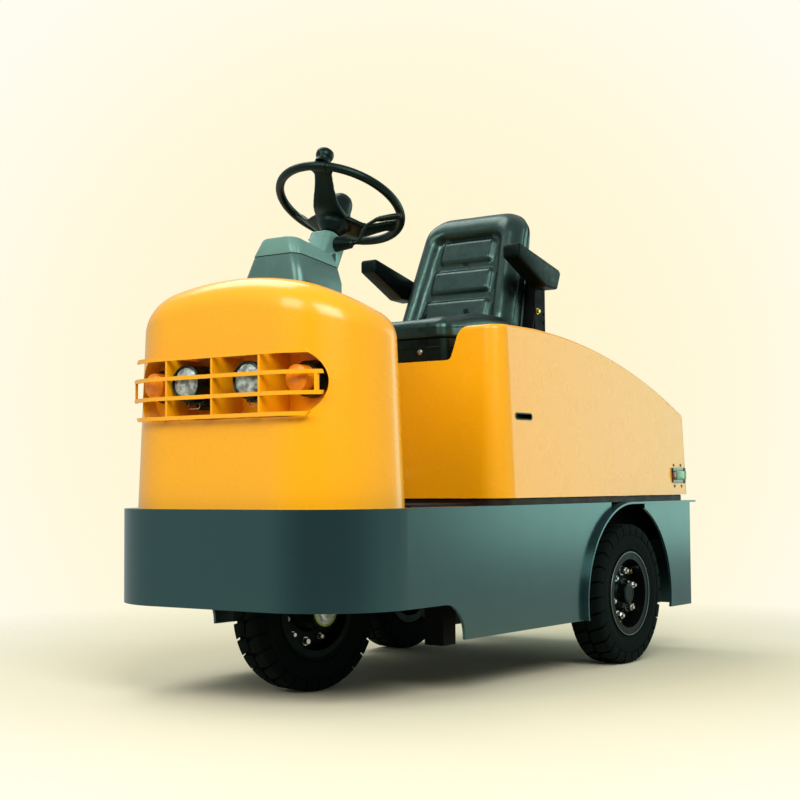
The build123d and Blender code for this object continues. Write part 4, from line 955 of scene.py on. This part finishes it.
# Stalk of the direction lever: x, y, z, radius
STALK = ((0.088, -0.501, 1.188, 0.006), (0.1, -0.499, 1.191, 0.005), (0.108, -0.497, 1.2, 0.0046),
         (0.1145, -0.492, 1.222, 0.0046), (0.126, -0.487, 1.236, 0.0046), (0.1407, -0.482, 1.2443, 0.005),
         (0.15, -0.479, 1.2485, 0.0062), (0.16, -0.476, 1.25, 0.008), (0.185, -0.469, 1.2525, 0.0088),
         (0.21, -0.463, 1.254, 0.0086), (0.218, -0.461, 1.2543, 0.0066), (0.22, -0.4605, 1.2544, 0.003))


def lever():
    """Direction lever: ribbed boot, bent stalk and a long grip."""
    root = COLUMN @ Vector((COLUMN_W, 0, -0.138))
    aim = Vector((1.0, 0.06, -0.05)).normalized()
    bm = bmesh.new()
    ribs = []
    for i in range(7):
        h = 0.0005 + i * 0.0072
        r = 0.0205 - 0.0012 * i
        ribs += [(r - 0.0038, h), (r, h + 0.0016), (r, h + 0.0036), (r - 0.0038, h + 0.0054)]
    lathe(bm, [(0, -0.004), (0.017, -0.004)] + ribs + [(0.0075, 0.0525), (0.0052, 0.0545), (0, 0.0545)],
          facing(root, aim), 36)
    points = [Vector(row[:3]) for row in STALK]
    pipe(bm, points, 1.0, 16, swell=[row[3] for row in STALK])
    piece = add_piece("direction_lever", bm, "chassis", "black_plastic", GRIP, sharp=50)
    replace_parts(piece, "control_lever")


def dash_face():
    """Key switch and charge meter on the lid, facing the driver."""
    turn = Matrix.Rotation(-math.atan(LID_SLOPE), 4, "X")
    meter = at(-0.03, -0.635, lid_level(-0.635) + 0.0015) @ turn
    block("charge_meter", (0.058, 0.04, 0.006), meter, "chassis", "black_plastic", PLASTIC, 0.002, 3)
    window = meter @ at(0, 0.002, 0.0026)
    block("charge_window", (0.046, 0.026, 0.002), window, "chassis", "lens_clear", GLASS, 0.0006)
    bm = bmesh.new()
    key = at(0.036, -0.63, lid_level(-0.63) - 0.0005) @ turn
    lathe(bm, [(0, 0), (0.014, 0), (0.014, 0.005), (0.0125, 0.0065), (0.0075, 0.0065), (0.0075, 0.0095),
               (0, 0.0095)], key, 32)
    slab(bm, (0.0022, 0.009, 0.016), key @ at(0, 0, 0.017), 0.0006)
    add_piece("key_switch", bm, "chassis", "steel_plate", ZINC)


# Turned parts of the steering wheel: radius, height
HUB_PROFILE = ((0, -0.1005), (0.025, -0.1005), (0.03, -0.092), (0.041, -0.08), (0.047, -0.063),
               (0.047, -0.046), (0.039, -0.0405), (0, -0.0405))
HORN_PROFILE = ((0, -0.044), (0.0385, -0.044), (0.0385, -0.03), (0.036, -0.024), (0.0352, -0.004),
                (0.033, 0.008), (0.0275, 0.0185), (0.0185, 0.0262), (0.0085, 0.0296), (0, 0.0302))
KNOB_PROFILE = ((0, 0.0095), (0.0205, 0.0095), (0.02, 0.015), (0.0185, 0.0185), (0.0195, 0.0225),
                (0.0228, 0.027), (0.0242, 0.033), (0.024, 0.04), (0.0222, 0.0455), (0.018, 0.049),
                (0.01, 0.0508), (0, 0.0512))


def steering_trim():
    """Smoothly blended steering wheel with flared spokes, horn cap and a squat turning knob."""
    bm = bmesh.new()
    turns = [2 * math.pi * i / 20 for i in range(20)]
    ring = [(RIM_R + RIM_TUBE_R * math.cos(a), RIM_TUBE_R * math.sin(a)) for a in turns]
    lathe(bm, ring, Matrix.Identity(4), 120, closed=True)
    lathe(bm, HUB_PROFILE, Matrix.Identity(4), 48)
    for i in range(3):
        spoke(bm, SPOKE_ANGLE + 2 * math.pi * i / 3)
    bmesh.ops.transform(bm, matrix=COLUMN, verts=bm.verts)
    wheel = add_piece("steering_wheel_trim", bm, "steering_wheel", "black_plastic", GRIP)
    blend = wheel.modifiers.new("blend", "REMESH")
    blend.mode = "VOXEL"
    blend.voxel_size = 0.0026
    blend.use_smooth_shade = True
    even = wheel.modifiers.new("even", "SMOOTH")
    even.factor = 0.6
    even.iterations = 12
    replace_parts(wheel, "steering_rim")
    horn = turned("horn_cap", HORN_PROFILE, COLUMN, "steering_wheel", "black_plastic", GRIP, 48, sharp=50)
    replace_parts(horn, "horn_button")
    bm = bmesh.new()
    seat = COLUMN @ Matrix.Rotation(SPOKE_ANGLE, 4, "Z") @ at(RIM_R, 0, 0)
    lathe(bm, KNOB_PROFILE, seat, 44)
    pipe(bm, [seat @ Vector((0, -0.016, 0.0)), seat @ Vector((0, 0.016, 0.0))], 0.0146, 28)
    knob = add_piece("turning_knob", bm, "steering_wheel", "black_plastic", GRIP, sharp=50)
    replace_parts(knob, "spinner_knob")


# Corners round a spoke's section: across, up
SPOKE_CORNERS = ((-1, -1), (-0.5, -1), (0.5, -1), (1, -1), (1, 1), (0.5, 1), (-0.5, 1), (-1, 1))


def spoke(bm, angle):
    """Curved spoke from the sunk hub up to the rim, flared at both ends."""
    turn = Matrix.Rotation(angle, 4, "Z")
    rows = []
    for i in range(13):
        t = i / 12
        r = 0.022 + t * (RIM_R - 0.022)
        z = -0.058 + 0.058 * smooth(0.28, 1.0, t)
        half_w = 0.046 - 0.0205 * smooth(0.0, 0.85, t) + 0.014 * smooth(0.84, 1.0, t)
        half_t = 0.0105 - 0.003 * t
        rows.append([bm.verts.new(turn @ Vector((r, y * half_w, z + s * half_t * (1 - 0.35 * y * y))))
                     for y, s in SPOKE_CORNERS])
    join_rings(bm, rows)


def hood_reach(z):
    """Half width of the hood's drafted sides at a height."""
    return HOOD_HALF_W - (z - HOOD_BOTTOM_Z) * math.tan(HOOD_DRAFT)


def hood_trim():
    """Hand-slot cups, tail lamps, and the seal on the deck."""
    for side, name in SIDES:
        bm = bmesh.new()
        place = at(side * hood_reach(HAND_SLOT_Z), HAND_SLOT_Y, HAND_SLOT_Z) @ sideways(side)
        hollow_cup(bm, obround(0.0898, 0.0198), obround(0.083, 0.013), place, 0.0012, -0.03)
        add_piece(f"hand_slot_{name}", bm, "hood", "black_plastic", PLASTIC)
        tail_lamp_trim(side, name)
    bm = bmesh.new()
    half = HOOD_HALF_W - 0.012
    front = HOOD_FRONT_Y + 0.012
    corner = 0.052
    path = [(half, 0.818), (half, 0.4), (half, 0.0)]
    path += [(half - corner + corner * math.cos(a), front + corner - corner * math.sin(a))
             for a in (math.pi / 2 * i / 8 for i in range(9))]
    path += [(-x, y) for x, y in reversed(path)]
    strip(bm, path, 0.01, DECK_Z + 0.0002, HOOD_BOTTOM_Z - 0.0006)
    add_piece("hood_seal", bm, "chassis", "rubber_black", SEAL_SHADE)


def hollow_cup(bm, outer, inner, place, lip, floor):
    """Slot insert: rim round the mouth, walls and a closed floor."""
    rings = []
    for outline, level in ((outer, floor), (outer, lip), (inner, lip), (inner, floor * 0.8)):
        rings.append([bm.verts.new(place @ Vector((x, y, level))) for x, y in outline])
    join_rings(bm, rings)


def strip(bm, path, thick, low, high):
    """Upright band along an open path of (x, y) points."""
    brink = high - 0.002
    section = ((-1, low), (1, low), (1, brink), (0.5, high), (-0.5, high), (-1, brink))
    rows = []
    for i, (x, y) in enumerate(path):
        x0, y0 = path[max(i - 1, 0)]
        x1, y1 = path[min(i + 1, len(path) - 1)]
        along = Vector((x1 - x0, y1 - y0, 0)).normalized()
        out = Vector((-along.y, along.x, 0)) * thick / 2
        centre = Vector((x, y, 0))
        rows.append([bm.verts.new(centre + out * s + Vector((0, 0, z))) for s, z in section])
    join_rings(bm, rows)


# Tail lamp's parts: name, slot, look, way along, level, length, height, stand-out
TAIL_PARTS = (
    ("red", "lens_red", TAIL_RED, -0.034, 0.0, 0.0255, 0.022, 0.0016),
    ("clear", "lens_clear", TAIL_GREEN, 0.0142, 0.0, 0.068, 0.028, 0.0026),
    ("top_band", "steel_plate", BAND, -0.0075, 0.0195, 0.074, 0.01, 0.0012),
    ("low_band", "steel_plate", BAND, -0.0075, -0.0195, 0.074, 0.0095, 0.0012),
    ("top_clip", "black_plastic", PLASTIC, 0.037, 0.019, 0.0138, 0.011, 0.0022),
    ("low_clip", "black_plastic", PLASTIC, 0.037, -0.019, 0.0138, 0.012, 0.0022),
)


def tail_lamp_trim(side, name):
    """Case, lens segments, bands, clips and four screws of a tail lamp."""
    place = at(side * HOOD_HALF_W, TAIL_Y, TAIL_Z) @ sideways(side)
    case = block(f"tail_lamp_case_{name}", (0.092, 0.047, 0.01), place @ at(0, 0, -0.003),
                 "hood", "black_plastic", PLASTIC, 0.0012)
    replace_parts(case, f"tail_lamp_{name}")
    for part, slot, look, along, level, length, height, out in TAIL_PARTS:
        block(f"tail_lamp_{part}_{name}", (length, height, 0.004 + out), place @ at(along, level, out / 2),
              "hood", slot, look, 0.0012)
    bm = bmesh.new()
    for y in (-0.029, 0.022):
        for z in (-0.035, 0.0325):
            skin = side * (hood_reach(TAIL_Z + z) - 0.0006)
            screw(bm, facing((skin, TAIL_Y + y, TAIL_Z + z), (side, 0, 0)), 0.0048)
    add_piece(f"tail_lamp_screws_{name}", bm, "hood", "steel_plate", SHADED_BRASS)


def cowl_trim():
    """Bolts on the lamps' bracket."""
    places = [facing((x, POCKET_Y - 0.0059, LAMP_CENTRE_Z), TO_FRONT) for x in (-0.2, -0.04, 0.04, 0.2)]
    bolts("lamp_bracket_bolts", places, 0.011, 0.006, "chassis", ZINC)


def seat_trim():
    """Bolts and bead of the seat pan, bolts of the bracket, and belt buckles."""
    places = [facing((x, -0.2779, 0.905), TO_FRONT) for x in (-0.15, 0.0, 0.15)]
    bolts("seat_pan_bolts", places, 0.011, 0.006, "hood", ZINC)
    bm = bmesh.new()
    slab(bm, (0.44, 0.005, 0.003), at(0, -0.2785, 0.9165), 0.0012)
    for side in (-1, 1):
        slab(bm, (0.005, 0.4, 0.003), at(side * 0.2365, -0.055, 0.9165), 0.0012)
    add_piece("seat_pan_bead", bm, "hood", "black_plastic", PLASTIC)
    places = [facing((side * 0.2259, 0.238, z), (side, 0, 0)) for side in (-1, 1) for z in (0.99, 1.06)]
    bolts("bracket_bolts", places, 0.013, 0.007, "hood", BRASS)
    bm = bmesh.new()
    for side, tilt in ((-1, 0.4), (1, -0.2)):
        place = at(side * 0.085, 0.07, 1.024) @ Matrix.Rotation(tilt, 4, "Y")
        slab(bm, (0.03, 0.012, 0.044), place, 0.004, 3)
        slab(bm, (0.016, 0.005, 0.02), place @ at(0, -0.0035, 0.03), 0.001)
    add_piece("belt_buckles", bm, "hood", "black_plastic", PLASTIC)


MAT_RIBS = 22
MAT_RIB_PITCH = 0.0135


def floor_trim():
    """Ribbed mat top and grooved pedal pads."""
    bm = bmesh.new()
    for i in range(MAT_RIBS):
        slab(bm, (0.69, 0.006, 0.0026), at(0, -0.604 + MAT_RIB_PITCH * i, 0.485), 0.001, 1)
    add_piece("mat_ribs", bm, "chassis", "rubber_black", RUBBER)
    for name, x, width in (("brake", -0.07, 0.109), ("accelerator", -0.23, 0.084)):
        bm = bmesh.new()
        pad = at(x, -0.538, 0.546) @ Matrix.Rotation(math.radians(38), 4, "X")
        for i in range(7):
            slab(bm, (width - 0.014, 0.007, 0.003), pad @ at(0, -0.045 + 0.015 * i, 0.0052), 0.001, 1)
        add_piece(f"{name}_pedal_ribs", bm, "chassis", "rubber_black", RUBBER)


BATTERY_COLUMNS = 4
BATTERY_ROWS = 6
BATTERY_RIM = 0.012
VENT_CAP = ((0, 0), (0.017, 0), (0.017, 0.011), (0.014, 0.015), (0.006, 0.0155), (0, 0.013))
LIFT_EYE = ((0.011, -0.003), (0.017, -0.003), (0.017, 0.003), (0.011, 0.003))


def battery_trim():
    """Cell lids with vent caps, lead links and a tray rim with lifting eyes on the battery."""
    node = NODES["battery_block"]
    corners = [node.matrix_world @ Vector(corner) for corner in node.bound_box]
    half = max(corner.x for corner in corners)
    front = min(corner.y for corner in corners)
    rear = max(corner.y for corner in corners)
    top = max(corner.z for corner in corners)
    middle = (front + rear) / 2
    step_x = 2 * (half - BATTERY_RIM) / BATTERY_COLUMNS
    step_y = (rear - front - 2 * BATTERY_RIM) / BATTERY_ROWS
    lids = bmesh.new()
    caps = bmesh.new()
    links = bmesh.new()
    for i in range(BATTERY_COLUMNS):
        x = (i - (BATTERY_COLUMNS - 1) / 2) * step_x
        for j in range(BATTERY_ROWS):
            y = middle + (j - (BATTERY_ROWS - 1) / 2) * step_y
            cell = at(x, y, top)
            slab(lids, (step_x - 0.006, step_y - 0.006, 0.014), cell @ at(0, 0, 0.006), 0.003)
            lathe(caps, VENT_CAP, cell @ at(0, 0, 0.0128), 24)
            if j:
                shift = 0.04 if (i + j) % 2 else -0.04
                slab(links, (0.018, 0.07, 0.007), cell @ at(shift, -step_y / 2, 0.016), 0.002)
    add_piece("battery_lids", lids, "chassis", "black_plastic", RUBBER)
    add_piece("battery_caps", caps, "chassis", "lens_amber", CAP)
    add_piece("battery_links", links, "chassis", "steel_plate", EDGE)
    rim = bmesh.new()
    for side in (-1, 1):
        x = side * (half - 0.004)
        slab(rim, (0.008, rear - front, 0.03), at(x, middle, top + 0.012), 0.002)
        y = middle + side * ((rear - front) / 2 - 0.004)
        slab(rim, (2 * half - 0.016, 0.008, 0.03), at(0, y, top + 0.012), 0.002)
        for x in (-0.6 * half, 0.6 * half):
            lathe(rim, LIFT_EYE, facing((x, y, top + 0.036), TO_REAR), 24, closed=True)
    add_piece("battery_rim", rim, "chassis", "frame_black", FRAME)


def coupler_trim():
    """Bolts on the tow coupler's base."""
    places = [facing((x, 0.8809, z), TO_REAR) for x in (-0.066, 0.066) for z in (0.19, 0.316)]
    bolts("coupler_bolts", places, 0.019, 0.012, "chassis", ZINC)


def add_camera():
    """Camera at the photograph's viewing angle."""
    level_reach = math.cos(CAM_PITCH)
    ahead = Vector((-math.sin(CAM_YAW) * level_reach, math.cos(CAM_YAW) * level_reach, math.sin(CAM_PITCH)))
    level = Vector((math.cos(CAM_YAW), math.sin(CAM_YAW), 0))
    up = level.cross(ahead)
    right = level * math.cos(CAM_ROLL) + up * math.sin(CAM_ROLL)
    top = right.cross(ahead)
    turn = Matrix((right, top, -ahead)).transposed()
    data = bpy.data.cameras.new("camera")
    data.sensor_fit = "HORIZONTAL"
    data.angle = CAM_FOV
    camera = bpy.data.objects.new("camera", data)
    camera.matrix_world = Matrix.Translation(CAM_PLACE) @ turn.to_4x4()
    bpy.context.scene.collection.objects.link(camera)
    bpy.context.scene.camera = camera


WARM = (1.0, 0.98, 0.95)
COOL = (0.6, 1.0, 0.88)
# Soft boxes: place, aim, width, height, power, colour
LAMPS = (
    ("key", (-0.4, -4.7, 3.5), (0, -0.1, 0.8), 2.6, 2.2, 100.0, WARM),
    ("fill", (3.2, -3.0, 3.3), (0.1, -0.2, 0.7), 2.6, 2.2, 165.0, WARM),
    ("side", (2.6, 5.0, 1.6), (0.4, 0.2, 0.7), 2.4, 3.0, 48.0, COOL),
    ("top", (-2.4, 0.4, 4.9), (0, 0.2, 1.1), 2.8, 2.8, 85.0, WARM),
)
# Level directions of the dark side of the studio and of the backdrop's middle
DARK_SIDE = (0.56, -0.83, 0.0)
BACKDROP_SIDE = (-0.581, 0.812, 0.056)


def along_way(tree, direction, low, high, first, last):
    """Value that runs with the angle between a ray and a fixed direction."""
    coords = tree.nodes.new("ShaderNodeTexCoord")
    dot = tree.nodes.new("ShaderNodeVectorMath")
    dot.operation = "DOT_PRODUCT"
    dot.inputs[1].default_value = direction
    tree.links.new(coords.outputs["Generated"], dot.inputs[0])
    return add_range(tree, dot.outputs["Value"], low, high, first, last)


def add_world():
    """Cream backdrop for the camera, and a studio that is darker behind the camera."""
    world = bpy.data.worlds.new("studio")
    bpy.context.scene.world = world
    world.use_nodes = True
    tree = world.node_tree
    links = tree.links
    light = tree.nodes["Background"]
    light.inputs["Color"].default_value = (0.88, 1.0, 0.96, 1)
    links.new(along_way(tree, DARK_SIDE, 0.35, 0.92, 0.55, 0.1), light.inputs["Strength"])
    backdrop = tree.nodes.new("ShaderNodeBackground")
    cream = add_ramp(tree, along_way(tree, BACKDROP_SIDE, 0.945, 0.998, 0.0, 1.0),
                     (0.0, (*tone(255, 253, 240), 1)), (1.0, (*tone(255, 245, 206), 1)))
    links.new(cream, backdrop.inputs["Color"])
    path = tree.nodes.new("ShaderNodeLightPath")
    mix = tree.nodes.new("ShaderNodeMixShader")
    links.new(path.outputs["Is Camera Ray"], mix.inputs["Fac"])
    links.new(light.outputs["Background"], mix.inputs[1])
    links.new(backdrop.outputs["Background"], mix.inputs[2])
    links.new(mix.outputs["Shader"], tree.nodes["World Output"].inputs["Surface"])


def add_floor():
    """Cream floor that fades into the backdrop."""
    bm = bmesh.new()
    lathe(bm, [(0, 0), (1.5, 0), (3, 0), (6, 0)], Matrix.Identity(4), 96)
    mesh = bpy.data.meshes.new("floor")
    bm.to_mesh(mesh)
    bm.free()
    floor = bpy.data.objects.new("floor", mesh)
    material = surface("floor_cream", tone(230, 221, 194), 0.85, gloss=0.1, spread=0.01, patch=0.6,
                       grain=0.02)
    tree = material.node_tree
    reach = tree.nodes.new("ShaderNodeVectorMath")
    reach.operation = "LENGTH"
    coords = next(node for node in tree.nodes if node.bl_idname == "ShaderNodeTexCoord")
    tree.links.new(coords.outputs["Object"], reach.inputs[0])
    fade = add_range(tree, reach.outputs["Value"], 0.9, 2.6, 1.0, 0.0)
    tree.links.new(fade, tree.nodes["Principled BSDF"].inputs["Alpha"])
    mesh.materials.append(material)
    bpy.context.scene.collection.objects.link(floor)


def add_stage():
    """Floor, backdrop and soft boxes."""
    add_floor()
    add_world()
    for name, spot, aim, width, height, power, color in LAMPS:
        data = bpy.data.lights.new(name, "AREA")
        data.shape = "RECTANGLE"
        data.energy = power
        data.color = color
        data.size = width
        data.size_y = height
        lamp = bpy.data.objects.new(name, data)
        lamp.location = spot
        lamp.rotation_euler = (Vector(aim) - Vector(spot)).to_track_quat("-Z", "Y").to_euler()
        bpy.context.scene.collection.objects.link(lamp)


add_camera()
add_stage()
dress_nodes()
soft_seat()
armrests()
wheels()
lamps()
dash_trim()
steering_trim()
hood_trim()
cowl_trim()
seat_trim()
floor_trim()
coupler_trim()
battery_trim()
bpy.context.scene.view_settings.view_transform = "Standard"
